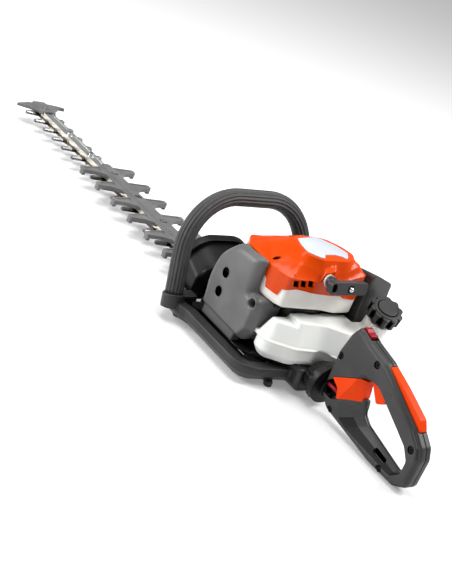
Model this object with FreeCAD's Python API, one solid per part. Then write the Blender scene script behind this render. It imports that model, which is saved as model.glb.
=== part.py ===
import FreeCAD, Part
import math
import os

# Petrol hedge trimmer with a double-sided reciprocating blade.
# Origin: where the crankshaft's upright axis meets the ground.
# +X points back to the rear handle, +Y to the machine's right side, +Z up.  Millimetres.

V = FreeCAD.Vector

# ---------------------------------------------------------------- driving dimensions
# Fits
running_gap = 0.05
body_gap = 0.4
wall = 3.0
screw_d = 5.0
screw_head_d = 9.0
screw_head_h = 4.0

# Blades and guide bar
tooth_pitch = 40.0
tooth_count = 17
last_tooth_x = -200.0
tooth_reach = 36.0
tooth_tip = 8.0
tooth_root = 19.0
tooth_bevel = 2.2
right_lead = 9.0
spine_half = 12.0
blade_thick = 2.8
blade_gap = 0.2
lower_blade_z = 22.0
stroke = 20.0
bar_width = 22.0
bar_thick = 9.0
bolt_d = 6.0
bolt_pitch = 90.0
bolt_count = 6
last_bolt_x = -272.0
bolt_head_d = 11.0
bolt_head_h = 4.0
nut_flats = 10.0
nut_h = 5.0

# Tip guard and blade guard
tip_guard_half = 55.0
tip_guard_thick = 6.0
guard_length = 430.0
guard_spine_half = 9.0
guard_spine_h = 8.0
guard_plate_half = 19.0
guard_plate_h = 4.0
finger_pitch = 60.0
finger_reach = 58.0
finger_h = 8.0
finger_hook_z = 28.0
finger_hook = 8.0

# Gear train
gear_module = 1.5
pinion_teeth = 14
gear_teeth = 58
gear_h = 6.0
gear_z = 36.0
gear_shaft_r = 6.0
eccentric_r = 19.0
strap_wall = 5.0
strap_h = 5.0
strap_length = 62.0
strap_pin_r = 4.0
strap_eye_r = 8.0
bearing_wall = 6.0

# Gearbox
gearbox_base = 8.0
gearbox_top = 54.0
gearbox_half = 54.0
gearbox_nose_half = 40.0
gearbox_front = -150.0
cover_plate = 4.0
skid_r = 14.0

# Crank drive
crank_r = 14.0
crank_plane_z = 88.0
journal_r = 6.0
web_r = 27.0
web_h = 4.0
crank_pin_r = 5.0
rod_h = 7.0
rod_length = 70.0
bore_r = 18.0
piston_length = 30.0
wrist_pin_r = 4.5
crankcase_r = 40.0
crankcase_top = 120.0
drum_r = 34.0
drum_wall = 2.5
drum_h = 13.0
shoe_travel = 0.8

# Cylinder
fin_half = 30.0
fin_count = 8
fin_thick = 2.0
fin_pitch = 7.0
cylinder_wall = 4.0
cylinder_front = -118.0
port_x = -78.0
port_r = 6.0

# Fan and starter
fan_r = 47.0
fan_blade_count = 18
starter_half = 80.0
starter_rear = 57.0
starter_nose_x = -88.0
starter_nose_half = 58.0
fan_housing_h = 30.0
cover_rim_z = 178.0
cover_top_z = 206.0
pulley_r = 28.0
rope_groove_r = 24.0
pulley_h = 10.0
rope_r = 1.6
pull_tilt = 12.0
eyelet_y = -14.0
eyelet_z = 179.0
grip_bar_length = 73.0
grip_bar_h = 20.0
grip_bar_t = 12.0
grip_stem_y = 12.0
grip_drop = 5.0
knob_y = 28.0
vent_size = 8.0
vent_count = 3

# Muffler side
muffler_cover_face = 100.0
muffler_cover_root = 52.0
muffler_face = 84.0
cover_screw_x = 12.0
cover_screw_z = 111.0

# Intake side
intake_bore_r = 9.0
bulb_r = 8.6
bulb_travel = 4.0
choke_place = (-30.0, 98.0)
carb_depth = 26.0
filter_face = 120.0
filter_root = 72.0

tray_thick = 4.0

# Fuel tank and cap
tank_base = 42.0
tank_top = 112.0
tank_wall = 2.5
tank_seam_z = 74.0
neck_r = 17.0
cap_r = 24.0
cap_h = 22.0
cap_lobes = 10
cap_centre = (95.0, 90.0, 147.0)
cap_axis = (0.30, -0.14, 0.94)

# Chassis and front handle
chassis_front = -152.0
chassis_half = 119.0
chassis_rear = 80.0
chassis_corner_x = 66.0
chassis_base = 5.0
chassis_top = 33.0
rail_width = 21.0
rail_bevel = 15.0
foot_r = 7.0
leg_y = 124.0
leg_x = -124.0
leg_z = 25.0
handle_lean = 15.0
handle_rise = 175.0
handle_corner_r = 92.0
tube_r = 11.0
grip_r = 14.5
socket_r = 18.0
socket_low = -6.0
socket_high = 17.0
cup_half = 31.0
cup_top = 45.0
cup_depth = 30.0
mount_r = 11.0
mount_h = 12.0
mount_base = 12.0
front_mount = (-108.0, 80.0)
rear_mount = (34.0, 74.0)
tank_pad = (38.0, 60.0)

# Hand shield
shield_x = -210.0
shield_half = 76.0
shield_base = 30.0
shield_top = 106.0

# Swivel and rear handle
swivel_z = 41.0
swivel_neck_r = 22.0
swivel_r = 32.0
swivel_length = 44.0
swivel_ribs = 22
spigot_r = 12.0
spigot_flange_r = 18.0
handle_half = 16.0
handle_edge = 6.0
lever_half = 5.6
handle_wall = 3.0
latch_travel = 5.0
latch_angle = 32.0
lockout_press = 9.0
latch_pin_r = 3.0
pin_y = 10.6
pin_z = 51.0


# ---------------------------------------------------------------- geometry helpers
def box(x0, x1, y0, y1, z0, z1):
    return Part.makeBox(x1 - x0, y1 - y0, z1 - z0, V(x0, y0, z0))


def rod(radius, length, base, axis=V(0, 0, 1)):
    return Part.makeCylinder(radius, length, base, axis)


def ring(outer, inner, length, base, axis=V(0, 0, 1)):
    return rod(outer, length, base, axis).cut(rod(inner, length, base, axis))


def union(shapes):
    return shapes[0].multiFuse(shapes[1:]) if len(shapes) > 1 else shapes[0]


def mirrored(shape):
    return shape.mirror(V(0, 0, 0), V(0, 1, 0))


def both_sides(shape):
    return shape.fuse(mirrored(shape))


def on_plane(plane, u, v, level):
    places = {"xy": V(u, v, level), "xz": V(u, level, v), "yz": V(level, u, v)}
    return places[plane]


def rounded_wire(corners, plane, level):
    """A closed outline through (u, v, radius) corners, each rounded by a tangent arc."""
    edges = []
    count = len(corners)
    previous_end = None
    first_start = None
    for i in range(count):
        u0, v0, _ = corners[i - 1]
        u1, v1, radius = corners[i]
        u2, v2, _ = corners[(i + 1) % count]
        back = V(u0 - u1, v0 - v1, 0)
        ahead = V(u2 - u1, v2 - v1, 0)
        back.normalize()
        ahead.normalize()
        half = math.acos(max(-1.0, min(1.0, back.dot(ahead)))) / 2
        reach = radius / math.tan(half)
        corner = V(u1, v1, 0)
        middle = back + ahead
        middle.normalize()
        start = corner + back * reach
        end = corner + ahead * reach
        apex = corner + middle * (radius / math.sin(half) - radius)
        arc_points = [on_plane(plane, p.x, p.y, level) for p in (start, apex, end)]
        if previous_end is not None:
            edges.append(Part.LineSegment(previous_end, arc_points[0]).toShape())
        else:
            first_start = arc_points[0]
        edges.append(Part.Arc(*arc_points).toShape())
        previous_end = arc_points[2]
    edges.append(Part.LineSegment(previous_end, first_start).toShape())
    return Part.Wire(edges)


def plane_normal(plane):
    return {"xy": V(0, 0, 1), "xz": V(0, 1, 0), "yz": V(1, 0, 0)}[plane]


def prism(corners, plane, start, end):
    face = Part.Face(rounded_wire(corners, plane, start))
    return face.extrude(plane_normal(plane) * (end - start))


def taper(corners_a, level_a, corners_b, level_b, plane):
    """A solid between two outlines that have the same number of corners."""
    wires = [rounded_wire(corners_a, plane, level_a), rounded_wire(corners_b, plane, level_b)]
    return Part.makeLoft(wires, True, True)


def polygon_prism(points, plane, start, end):
    wire = Part.makePolygon([on_plane(plane, u, v, start) for u, v in points + points[:1]])
    return Part.Face(wire).extrude(plane_normal(plane) * (end - start))


def inset(corners, distance):
    """The outline moved inwards by a distance (outwards if negative)."""
    area = 0.0
    count = len(corners)
    for i in range(count):
        area += corners[i - 1][0] * corners[i][1] - corners[i][0] * corners[i - 1][1]
    side = 1.0 if area > 0 else -1.0
    result = []
    for i in range(count):
        u0, v0, _ = corners[i - 1]
        u1, v1, radius = corners[i]
        u2, v2, _ = corners[(i + 1) % count]
        before = V(u1 - u0, v1 - v0, 0)
        after = V(u2 - u1, v2 - v1, 0)
        before.normalize()
        after.normalize()
        n0 = V(-before.y, before.x, 0) * side
        n1 = V(-after.y, after.x, 0) * side
        miter = (n0 + n1) * (distance / (1 + n0.dot(n1)))
        turn = before.x * after.y - before.y * after.x
        shrink = distance if turn * side > 0 else -distance
        result.append((u1 + miter.x, v1 + miter.y, max(radius - shrink, 0.6)))
    return result


def mirror_outline(half_outline):
    """An outline symmetric about v = 0 from its half with negative v."""
    other = [(u, -v, r) for u, v, r in reversed(half_outline) if abs(v) > 1e-6]
    return half_outline + other


def hexagon(flats, height, base):
    points = []
    for i in range(6):
        angle = math.radians(60 * i)
        radius = flats / math.sqrt(3)
        points.append((base.x + radius * math.cos(angle), base.y + radius * math.sin(angle)))
    return polygon_prism(points, "xy", base.z, base.z + height)


def pan_screw(head_d, head_h, shank_d, length, seat, axis):
    """A screw whose head stands on the seat, with the shank on the other side of it."""
    head = rod(head_d / 2, head_h, seat, axis)
    socket = rod(head_d / 4, head_h / 2, seat + axis * (head_h / 2), axis)
    shank = rod(shank_d / 2, length, seat - axis * length, axis)
    return head.cut(socket).fuse(shank)


def gear_blank(teeth, module, z0, z1, backlash=0.12):
    """An involute spur gear centred on the Z axis, with a tooth on +X."""
    pitch_r = teeth * module / 2
    base_r = pitch_r * math.cos(math.radians(20))
    tip_r = pitch_r + module * 0.95
    root_r = pitch_r - module * 1.25
    half_at_pitch = math.pi / (2 * teeth) - backlash / (2 * pitch_r)

    def involute(radius):
        if radius <= base_r:
            return 0.0
        angle = math.acos(base_r / radius)
        return math.tan(angle) - angle

    start_r = max(base_r, root_r)
    flank = []
    for step in range(5):
        radius = start_r + (tip_r - start_r) * step / 4
        flank.append((radius, half_at_pitch + involute(pitch_r) - involute(radius)))
    points = []
    for tooth in range(teeth):
        centre = 2 * math.pi * tooth / teeth
        side = [(root_r, (flank[0][1] + math.pi / teeth) / 2)] + flank
        profile = [(r, centre - half) for r, half in side]
        profile += [(r, centre + half) for r, half in reversed(side)]
        points += [(r * math.cos(a), r * math.sin(a)) for r, a in profile]
    return polygon_prism(points, "xy", z0, z1)


# ---------------------------------------------------------------- worked-out places
gear_distance = (pinion_teeth + gear_teeth) * gear_module / 2
gear_x = -gear_distance
eccentric = stroke / 2
strap_pin_x = gear_x - math.sqrt(strap_length ** 2 - eccentric ** 2)
blade_rear = strap_pin_x + 10.0
first_tooth_x = last_tooth_x - (tooth_count - 1) * tooth_pitch
blade_front = first_tooth_x - right_lead - tooth_tip / 2 - tooth_bevel
upper_blade_z = lower_blade_z + blade_thick + blade_gap
bar_base = upper_blade_z + blade_thick + blade_gap
bar_top = bar_base + bar_thick
bar_rear = strap_pin_x - strap_eye_r - stroke / 2 - 2.0
bar_front = blade_front - 7.0
bolt_places = [last_bolt_x - i * bolt_pitch for i in range(bolt_count)]
guard_rear = gearbox_front - body_gap
guard_front = guard_rear - guard_length
under_guard = [x for x in bolt_places if x > guard_front + bolt_head_d]
slot_half = bolt_d / 2 + 0.4
nut_top = lower_blade_z - blade_gap
lower_strap_z = lower_blade_z - 2.0 - strap_h
upper_strap_z = bar_base + 1.0
cover_top = gearbox_base + cover_plate
drum_base = gearbox_top + 2.0
rod_low = crank_plane_z - rod_h / 2
web_clear = 1.0
lower_web_z = rod_low - web_clear - web_h
upper_web_z = rod_low + rod_h + web_clear
bearing_h = 7.0
lower_bearing_z = lower_web_z - 1.0 - bearing_h
upper_bearing_z = upper_web_z + web_h + 1.0
wrist_x = -crank_r - rod_length
fan_base = crankcase_top
pulley_z = fan_base + fan_housing_h + 7.0
handle_front = chassis_rear + swivel_length + 4.0 + body_gap
stud_top = mount_base + mount_h + 6.0
tray_top = stud_top + tray_thick


# ---------------------------------------------------------------- cutting unit
def tooth(direction, lead, z0):
    """One blade tooth with ground edges, pointing to the left (-1) or right (+1)."""
    def outline(shrink):
        half_root = tooth_root / 2 - shrink
        half_tip = tooth_tip / 2 - shrink
        reach = tooth_reach - shrink
        return [(-half_root, direction * (spine_half - 1)), (half_root, direction * (spine_half - 1)),
                (half_tip, direction * reach), (-half_tip, direction * reach)]

    levels = [(0.0, 0.0), (0.0, blade_thick * 0.3), (tooth_bevel, blade_thick)]
    wires = []
    for shrink, height in levels:
        points = [V(u - lead, v, z0 + height) for u, v in outline(shrink)]
        wires.append(Part.makePolygon(points + points[:1]))
    return Part.makeLoft(wires, True, True)


def blade(z0):
    spine = box(blade_front, blade_rear, -spine_half, spine_half, z0, z0 + blade_thick)
    teeth = []
    for direction, lead in ((-1, 0.0), (1, right_lead)):
        pattern = tooth(direction, lead, z0)
        for k in range(tooth_count):
            copy = pattern.copy()
            copy.translate(V(first_tooth_x + k * tooth_pitch, 0, 0))
            teeth.append(copy)
    body = union([spine] + teeth)
    for x in bolt_places:
        slot = prism([(x - stroke / 2 - slot_half, -slot_half, slot_half * 0.98),
                      (x + stroke / 2 + slot_half, -slot_half, slot_half * 0.98),
                      (x + stroke / 2 + slot_half, slot_half, slot_half * 0.98),
                      (x - stroke / 2 - slot_half, slot_half, slot_half * 0.98)],
                     "xy", z0 - 1, z0 + blade_thick + 1)
        body = body.cut(slot)
    eye = rod(strap_pin_r + running_gap, blade_thick + 2, V(strap_pin_x, 0, z0 - 1))
    return body.cut(eye)


def guide_bar():
    half = bar_width / 2
    body = prism([(bar_front, -half, 3), (bar_rear, -half, 2), (bar_rear, half, 2), (bar_front, half, 3)],
                 "xy", bar_base, bar_top)
    groove = box(bar_front + 40, bar_rear - 20, -half + 4, half - 4, bar_top - 1.0, bar_top + 1)
    for x in bolt_places:
        pad = rod(half - 3, 3, V(x, 0, bar_top - 2))
        groove = groove.cut(pad)
    body = body.cut(groove)
    for x in bolt_places + [tip_screw_x()]:
        body = body.cut(rod(bolt_d / 2 + running_gap, bar_thick + 2, V(x, 0, bar_base - 1)))
    return body


def tip_screw_x():
    return first_tooth_x + 10.0


def bolt_seat(x):
    """Height of the face that a blade bolt's head stands on."""
    return bar_top + guard_plate_h if x in under_guard else bar_top


def blade_bolts():
    """The blade bolts with their washers and nuts, and the tip guard's screw."""
    seat = V(tip_screw_x(), 0, bar_top + 3)
    solids = [pan_screw(screw_head_d + 1, screw_head_h, screw_d, bar_thick + 3, seat, V(0, 0, 1))]
    for x in bolt_places:
        seat = bolt_seat(x)
        shank_end = nut_top - nut_h - 1.5
        screw = pan_screw(bolt_head_d, bolt_head_h, bolt_d, seat - shank_end, V(x, 0, seat), V(0, 0, 1))
        nut = hexagon(nut_flats, nut_h, V(x, 0, nut_top - nut_h - 1.2))
        washer = rod(nut_flats * 0.75, 1.2, V(x, 0, nut_top - 1.2))
        solids.append(union([screw, nut, washer]))
    return Part.makeCompound(solids)


def tip_guard():
    t = first_tooth_x
    half = tip_guard_half
    wing = [(t - 14, -half, 1.5), (t - 24, -25, 40), (t - 26, 0, 60), (t - 24, 25, 40),
            (t - 14, half, 1.5),
            (t - 6, half - 2, 1.5), (t - 10, half - 12, 3), (t + 2, 30, 8), (t + 12, 15, 4),
            (t + 24, 13, 2), (t + 24, -13, 2), (t + 12, -15, 4), (t, -30, 10)]
    low = bar_top - tip_guard_thick
    plate = prism(wing, "xy", low, bar_top + 3)
    above = box(t - 40, t + 40, 14, half + 2, bar_top, bar_top + 4)
    plate = plate.cut(above).cut(mirrored(above))
    bar_slot = box(bar_front, t + 40, -bar_width / 2 - 0.1, bar_width / 2 + 0.1, low - 1, bar_top)
    hole = rod(screw_d / 2 + running_gap, 10, V(tip_screw_x(), 0, bar_top - 1))
    return plate.cut(bar_slot).cut(hole)


def guard_finger(x):
    """A finger with a raised rim and a hooked end on the left side."""
    low = bar_top - finger_h + guard_plate_h
    high = bar_top + guard_plate_h
    arm = [(x - 6, -finger_reach, 4), (x + 7, -finger_reach, 4), (x + 12, -guard_plate_half - 14, 8),
           (x + 26, -guard_spine_half, 3), (x - 12, -guard_spine_half, 3),
            (x - 9, -guard_plate_half - 8, 8)]
    plate = prism(arm, "xy", low, high)
    recess = prism(inset(arm, 3.0), "xy", high - 3.0, high + 1)
    hook = prism([(x - 6, -finger_reach, 3), (x + 7, -finger_reach, 3),
                  (x + 6, -finger_reach + finger_hook, 3), (x - 5, -finger_reach + finger_hook, 3)],
                 "xy", finger_hook_z, high)
    above_bar = box(x - 20, x + 40, -bar_width / 2 - 0.1, 0, low - 1, bar_top)
    return plate.cut(recess).fuse(hook).cut(above_bar)


def blade_guard():
    length = guard_rear - guard_front
    waist = guard_plate_half - 6
    edge = [(guard_front, -waist, 6)]
    steps = int(length // finger_pitch)
    for k in range(steps):
        x = guard_front + 12 + k * finger_pitch
        edge.append((x + 10, -guard_plate_half, 8))
        edge.append((x + finger_pitch * 0.6, -waist, 8))
    edge.append((guard_rear, -waist, 3))
    plate = prism(mirror_outline(edge), "xy", bar_top, bar_top + guard_plate_h)
    rib = prism(mirror_outline([(guard_front, -guard_spine_half, 6), (guard_rear, -guard_spine_half, 3)]),
                "xy", bar_top, bar_top + guard_spine_h)
    fingers = []
    for k in range(steps):
        x = guard_front + 16 + k * finger_pitch
        if x + 30 < shield_x:
            fingers.append(both_sides(guard_finger(x)))
    body = union([plate, rib] + fingers)
    for x in under_guard:
        seat = bar_top + guard_plate_h
        body = body.cut(rod(bolt_head_d / 2 + 1.5, guard_spine_h, V(x, 0, seat)))
        body = body.cut(rod(bolt_d / 2 + running_gap, guard_plate_h + 2, V(x, 0, bar_top - 1)))
    return body


# ---------------------------------------------------------------- gearbox
def gearbox_outline():
    half = gearbox_half
    return mirror_outline([(gearbox_front, -gearbox_nose_half, 12), (gear_x - 46, -half, 24),
                           (crankcase_r + 6, -half, 40)])


def gearbox_screw_places():
    places = []
    for x, y in ((gearbox_front + 13, gearbox_nose_half - 11), (gear_x - 44, gearbox_half - 8.5),
                 (crankcase_r - 6, gearbox_half - 13)):
        places += [(x, -y), (x, y)]
    return places


def mount_ear(place):
    """A lug that reaches from the gearbox to an anti-vibration mount."""
    x, y = place
    base = mount_base + mount_h
    pad = rod(mount_r + 3, 6, V(x, -y, base))
    toward = -30 if x < 0 else 10
    arm = polygon_prism([(x - 10, -y), (x + 10, -y), (toward + 22, -gearbox_half + 6),
                         (toward - 22, -gearbox_half + 6)],
                        "xy", base, base + 6)
    if x < 0:
        arm = box(x - 11, x + 11, -y, -gearbox_nose_half, base, base + 6)
    return pad.fuse(arm).cut(rod(screw_d / 2 + running_gap, 8, V(x, -y, base - 1)))


def gearbox_housing():
    outline = gearbox_outline()
    body = prism(outline, "xy", cover_top, gearbox_top)
    cavity = prism(inset(outline, wall + 1), "xy", cover_top - 1, gearbox_top - wall - 1)
    nose_block = box(gearbox_front, bar_rear, -gearbox_half, gearbox_half, cover_top, gearbox_top)
    cavity = cavity.cut(nose_block)
    bosses = [ring(bearing_outer_r() + 3, bearing_outer_r(),
                   gearbox_top - gear_bearing_top() + bearing_wall,
                   V(gear_x, 0, gear_bearing_top() - bearing_wall)),
              ring(bearing_outer_r() + 3, bearing_outer_r(), 10, V(0, 0, gearbox_top - 10))]
    body = body.cut(cavity)
    for x, y in gearbox_screw_places():
        post = rod(screw_d, gearbox_top - cover_top, V(x, y, cover_top))
        body = body.fuse(post.common(prism(outline, "xy", cover_top, gearbox_top)))
    ears = [both_sides(mount_ear(front_mount)), both_sides(mount_ear(rear_mount))]
    body = union([body] + bosses + ears)
    body = body.cut(rod(bearing_outer_r(), bearing_wall + 1,
                        V(gear_x, 0, gear_bearing_top() - bearing_wall - 1)))
    body = body.cut(rod(bearing_outer_r(), 11, V(0, 0, gearbox_top - 10)))
    tunnel = box(gearbox_front - 1, bar_rear + 1, -bar_width / 2 - 0.1, bar_width / 2 + 0.1, bar_base,
                 bar_top + 0.1)
    blade_way = box(gearbox_front - 1, bar_rear + 1, -spine_half - 0.5, spine_half + 0.5,
                    lower_blade_z - 0.5, bar_base + 0.1)
    body = body.cut(tunnel).cut(blade_way)
    for x, y in gearbox_screw_places():
        body = body.cut(rod(screw_d / 2 + running_gap, 18, V(x, y, cover_top - 1)))
    return body


def bearing_outer_r():
    return gear_shaft_r + bearing_wall


def gear_bearing_top():
    return gearbox_top - wall - 1


def gearbox_cover():
    """The gearbox's bottom plate, with the gear's bearing boss and a skid pad under the crankshaft."""
    plate = prism(gearbox_outline(), "xy", gearbox_base, cover_top)
    boss = rod(bearing_outer_r() + 4, cover_top - 3, V(gear_x, 0, 3))
    pad = rod(skid_r, cover_top, V(0, 0, 0))
    body = plate.fuse(boss).fuse(pad)
    body = body.cut(rod(bearing_outer_r(), cover_top, V(gear_x, 0, 6)))
    for x, y in gearbox_screw_places():
        body = body.cut(rod(screw_d / 2 + running_gap, cover_plate + 2, V(x, y, gearbox_base - 1)))
    return body


def gearbox_screws():
    screws = []
    for x, y in gearbox_screw_places():
        seat = V(x, y, gearbox_base)
        screws.append(pan_screw(screw_head_d, screw_head_h, screw_d, cover_plate + 14, seat, V(0, 0, -1)))
    return Part.makeCompound(screws)


def ball_bearing(bore_r, outer_r, height, base):
    """Two races with a ring of balls between them, as one solid."""
    race = (outer_r - bore_r) * 0.3
    middle = (outer_r + bore_r) / 2
    inner = ring(bore_r + race, bore_r, height, base)
    outer = ring(outer_r, outer_r - race, height, base)
    cage = ring(outer_r - race, bore_r + race, height * 0.5, base + V(0, 0, height * 0.25))
    shape = union([inner, outer, cage])
    count = 9
    for i in range(count):
        angle = 2 * math.pi * i / count
        place = base + V(middle * math.cos(angle), middle * math.sin(angle), height / 2)
        ball = Part.makeSphere(height * 0.3, place)
        shape = shape.fuse(ball)
    return shape


def gearbox_bearings():
    bore = gear_shaft_r + running_gap
    outer = bearing_outer_r() - running_gap
    low = ball_bearing(bore, outer, 6, V(gear_x, 0, 6))
    high = ball_bearing(bore, outer, 6, V(gear_x, 0, gear_bearing_top() - 6))
    drum = ball_bearing(bore, outer, 8, V(0, 0, gearbox_top - 9))
    return Part.makeCompound([low, high, drum])


def drive_gear():
    wheel = gear_blank(gear_teeth, gear_module, gear_z, gear_z + gear_h)
    wheel.rotate(V(0, 0, 0), V(0, 0, 1), 180.0 / gear_teeth)
    for i in range(6):
        angle = math.radians(60 * i + 30)
        place = V(30 * math.cos(angle), 30 * math.sin(angle), gear_z - 1)
        wheel = wheel.cut(rod(8.0, gear_h + 2, place))
    wheel.translate(V(gear_x, 0, 0))
    shaft = rod(gear_shaft_r, gear_bearing_top() - 0.5 - 6.5, V(gear_x, 0, 6.5))
    upper = rod(eccentric_r, strap_h, V(gear_x, eccentric, upper_strap_z))
    lower = rod(eccentric_r, strap_h, V(gear_x, -eccentric, lower_strap_z))
    hub = rod(gear_shaft_r + 2, gear_z + 1 - lower_strap_z, V(gear_x, 0, lower_strap_z))
    return wheel.fuse(hub).fuse(upper).fuse(lower).fuse(shaft)


def strap(side, z0, pin_low, pin_high):
    """The rod that rides on an eccentric and drives a blade through its pin."""
    centre = V(gear_x, side * eccentric, z0)
    eye = V(strap_pin_x, 0, z0)
    big = rod(eccentric_r + strap_wall, strap_h, centre)
    small = rod(strap_eye_r, strap_h, eye)
    along = eye - centre
    along.normalize()
    across = V(-along.y, along.x, 0) * 6
    near = centre + along * (eccentric_r + 1)
    points = [near + across, eye + across, eye - across, near - across]
    bar = polygon_prism([(p.x, p.y) for p in points], "xy", z0, z0 + strap_h)
    pin = rod(strap_pin_r, pin_high - pin_low, V(strap_pin_x, 0, pin_low))
    body = union([big, small, bar, pin])
    return body.cut(rod(eccentric_r + running_gap, strap_h + 2, centre - V(0, 0, 1)))


def upper_strap():
    top_of_blade = upper_blade_z + blade_thick
    return strap(1, upper_strap_z, top_of_blade + body_gap, upper_strap_z + 1)


def lower_strap():
    return strap(-1, lower_strap_z, lower_strap_z + strap_h - 1, lower_blade_z - body_gap)


def clutch_drum():
    floor = rod(drum_r, drum_wall, V(0, 0, drum_base))
    skirt = ring(drum_r, drum_r - drum_wall, drum_h, V(0, 0, drum_base))
    pinion = gear_blank(pinion_teeth, gear_module, gear_z - 1, gear_z + gear_h + 1)
    shaft = rod(gear_shaft_r, drum_base - gear_z, V(0, 0, gear_z))
    return union([floor, skirt, pinion, shaft])


# ---------------------------------------------------------------- engine
def crankcase():
    body = rod(crankcase_r, crankcase_top - gearbox_top, V(0, 0, gearbox_top))
    flange = box(-46, 0, -fin_half + 2, fin_half - 2, crank_plane_z - fin_half + 2,
                 crank_plane_z + fin_half - 2)
    body = body.fuse(flange)
    clutch_room = rod(drum_r + 2.5, lower_bearing_z - 2 - gearbox_top, V(0, 0, gearbox_top))
    chamber = rod(web_r + 2.5, upper_web_z + web_h + 0.8 - (lower_web_z - 0.8),
                  V(0, 0, lower_web_z - 0.8))
    low_seat = rod(bearing_seat_r(), bearing_h + 1, V(0, 0, lower_bearing_z))
    high_seat = rod(bearing_seat_r(), bearing_h + 1, V(0, 0, upper_bearing_z - 1))
    shaft_way = rod(journal_r + 2, crankcase_top, V(0, 0, gearbox_top + 1))
    tunnel = rod(bore_r + 4 + running_gap, 60, V(0, 0, crank_plane_z), V(-1, 0, 0))
    lug_base = V(cover_screw_x, -crankcase_r - 6, cover_screw_z)
    body = body.fuse(rod(screw_d + 1, 12, lug_base, V(0, 1, 0)))
    screw_way = rod(screw_d / 2 + running_gap, 13, lug_base - V(0, 1, 0), V(0, 1, 0))
    for hollow in (clutch_room, chamber, low_seat, high_seat, shaft_way, tunnel, screw_way):
        body = body.cut(hollow)
    return body


def bearing_seat_r():
    return journal_r + bearing_wall + 2


def crank_bearings():
    bore = journal_r + running_gap
    outer = bearing_seat_r() - running_gap
    low = ball_bearing(bore, outer, bearing_h, V(0, 0, lower_bearing_z))
    high = ball_bearing(bore, outer, bearing_h, V(0, 0, upper_bearing_z))
    return Part.makeCompound([low, high])


def crank_web(z0):
    disc = rod(web_r, web_h, V(0, 0, z0))
    cheek = box(-web_r - 1, -2, crank_pin_r + 4, web_r + 1, z0 - 1, z0 + web_h + 1)
    return disc.cut(cheek).cut(mirrored(cheek))


def crankshaft():
    """Two halves: each has a journal and a web with half of the counterweight."""
    low_end = drum_base + drum_wall + 1.5
    lower = crank_web(lower_web_z).fuse(rod(journal_r, lower_web_z - low_end + 1, V(0, 0, low_end)))
    lower = lower.fuse(rod(journal_r + 1, drum_h - drum_wall - 2.0, V(0, 0, low_end)))
    upper_length = pulley_z - 2 - upper_web_z
    upper = crank_web(upper_web_z).fuse(rod(journal_r, upper_length, V(0, 0, upper_web_z)))
    return Part.makeCompound([lower, upper])


def connecting_rod():
    """The rod with its pressed crank pin, which ends just short of the two webs."""
    big = V(-crank_r, 0, rod_low)
    small = V(wrist_x, 0, rod_low)
    pin_clear = body_gap
    pin_low = lower_web_z + web_h + pin_clear
    pin_high = upper_web_z - pin_clear
    shank = box(wrist_x + 5, -crank_r - 6, -4, 4, rod_low, rod_low + rod_h)
    body = union([rod(crank_pin_r + 3.5, rod_h, big), rod(wrist_pin_r + 3, rod_h, small), shank,
                  rod(crank_pin_r, pin_high - pin_low, V(-crank_r, 0, pin_low))])
    return body.cut(rod(wrist_pin_r + running_gap, rod_h + 2, small - V(0, 0, 1)))


def piston():
    crown = wrist_x - piston_length * 0.5
    skirt_end = crown + piston_length
    centre = V(skirt_end, 0, crank_plane_z)
    body = rod(bore_r - running_gap, piston_length, centre, V(-1, 0, 0))
    hollow = rod(bore_r - 3, piston_length - 4, centre, V(-1, 0, 0))
    reach = bore_r - 1
    bosses = box(wrist_x - 6, wrist_x + 6, -7, 7, crank_plane_z - reach, crank_plane_z + reach)
    rod_space = box(crown, skirt_end, -14, 14, rod_low - 0.5, rod_low + rod_h + 0.5)
    skirt = body.cut(hollow)
    bosses = bosses.common(hollow).cut(rod_space)
    pin = rod(wrist_pin_r, 2 * (bore_r - 3.5), V(wrist_x, 0, crank_plane_z - bore_r + 3.5))
    return union([skirt, bosses, pin])


def cylinder():
    mouth_x = -44.0
    deck = wrist_x - piston_length * 0.5 - 3.0
    liner_r = bore_r + cylinder_wall
    body = rod(liner_r, mouth_x - cylinder_front, V(mouth_x, 0, crank_plane_z), V(-1, 0, 0))
    low = crank_plane_z - fin_half
    high = crank_plane_z + fin_half
    plates = [box(-54, -46.2, -fin_half + 2, fin_half - 2, low + 2, high - 2)]
    for i in range(fin_count):
        x = -60 - i * fin_pitch
        plates.append(box(x - fin_thick, x, -fin_half, fin_half, low, high))
    exhaust = box(port_x - 12, port_x + 12, -fin_half - 2, -liner_r + 3, crank_plane_z - 10,
                  crank_plane_z + 10)
    intake = box(port_x - 14, port_x + 14, liner_r - 3, fin_half + 2, crank_plane_z - 12,
                 crank_plane_z + 12)
    body = union([body] + plates + [exhaust, intake])
    bore_length = mouth_x - deck + 1
    body = body.cut(rod(bore_r, bore_length, V(mouth_x + 1, 0, crank_plane_z), V(-1, 0, 0)))
    ports = rod(port_r, 2 * fin_half + 20, V(port_x, -fin_half - 10, crank_plane_z), V(0, 1, 0))
    plug_hole = rod(7, 30, V(cylinder_front + 25, 0, crank_plane_z), V(-1, 0, 0))
    return body.cut(ports).cut(plug_hole)


def spark_plug():
    axis = V(-1, 0, 0)
    seat = cylinder_front
    thread = rod(7 - running_gap, 9, V(seat + 9, 0, crank_plane_z), axis)
    hexagonal = rod(9, 7, V(seat, 0, crank_plane_z), axis)
    insulator = rod(5, 16, V(seat - 7, 0, crank_plane_z), axis)
    tip = rod(1.2, 4, V(seat + 13, 0, crank_plane_z), axis)
    return union([thread, hexagonal, insulator, tip])


def spark_plug_boot():
    seat = cylinder_front - 7.5
    body = rod(8.5, 22, V(seat, 0, crank_plane_z), V(-1, 0, 0))
    lead = rod(3.5, 14, V(seat - 16, 0, crank_plane_z))
    hollow = rod(5 + running_gap, 16.5, V(seat + 0.5, 0, crank_plane_z), V(-1, 0, 0))
    return body.fuse(lead).cut(hollow)


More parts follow.
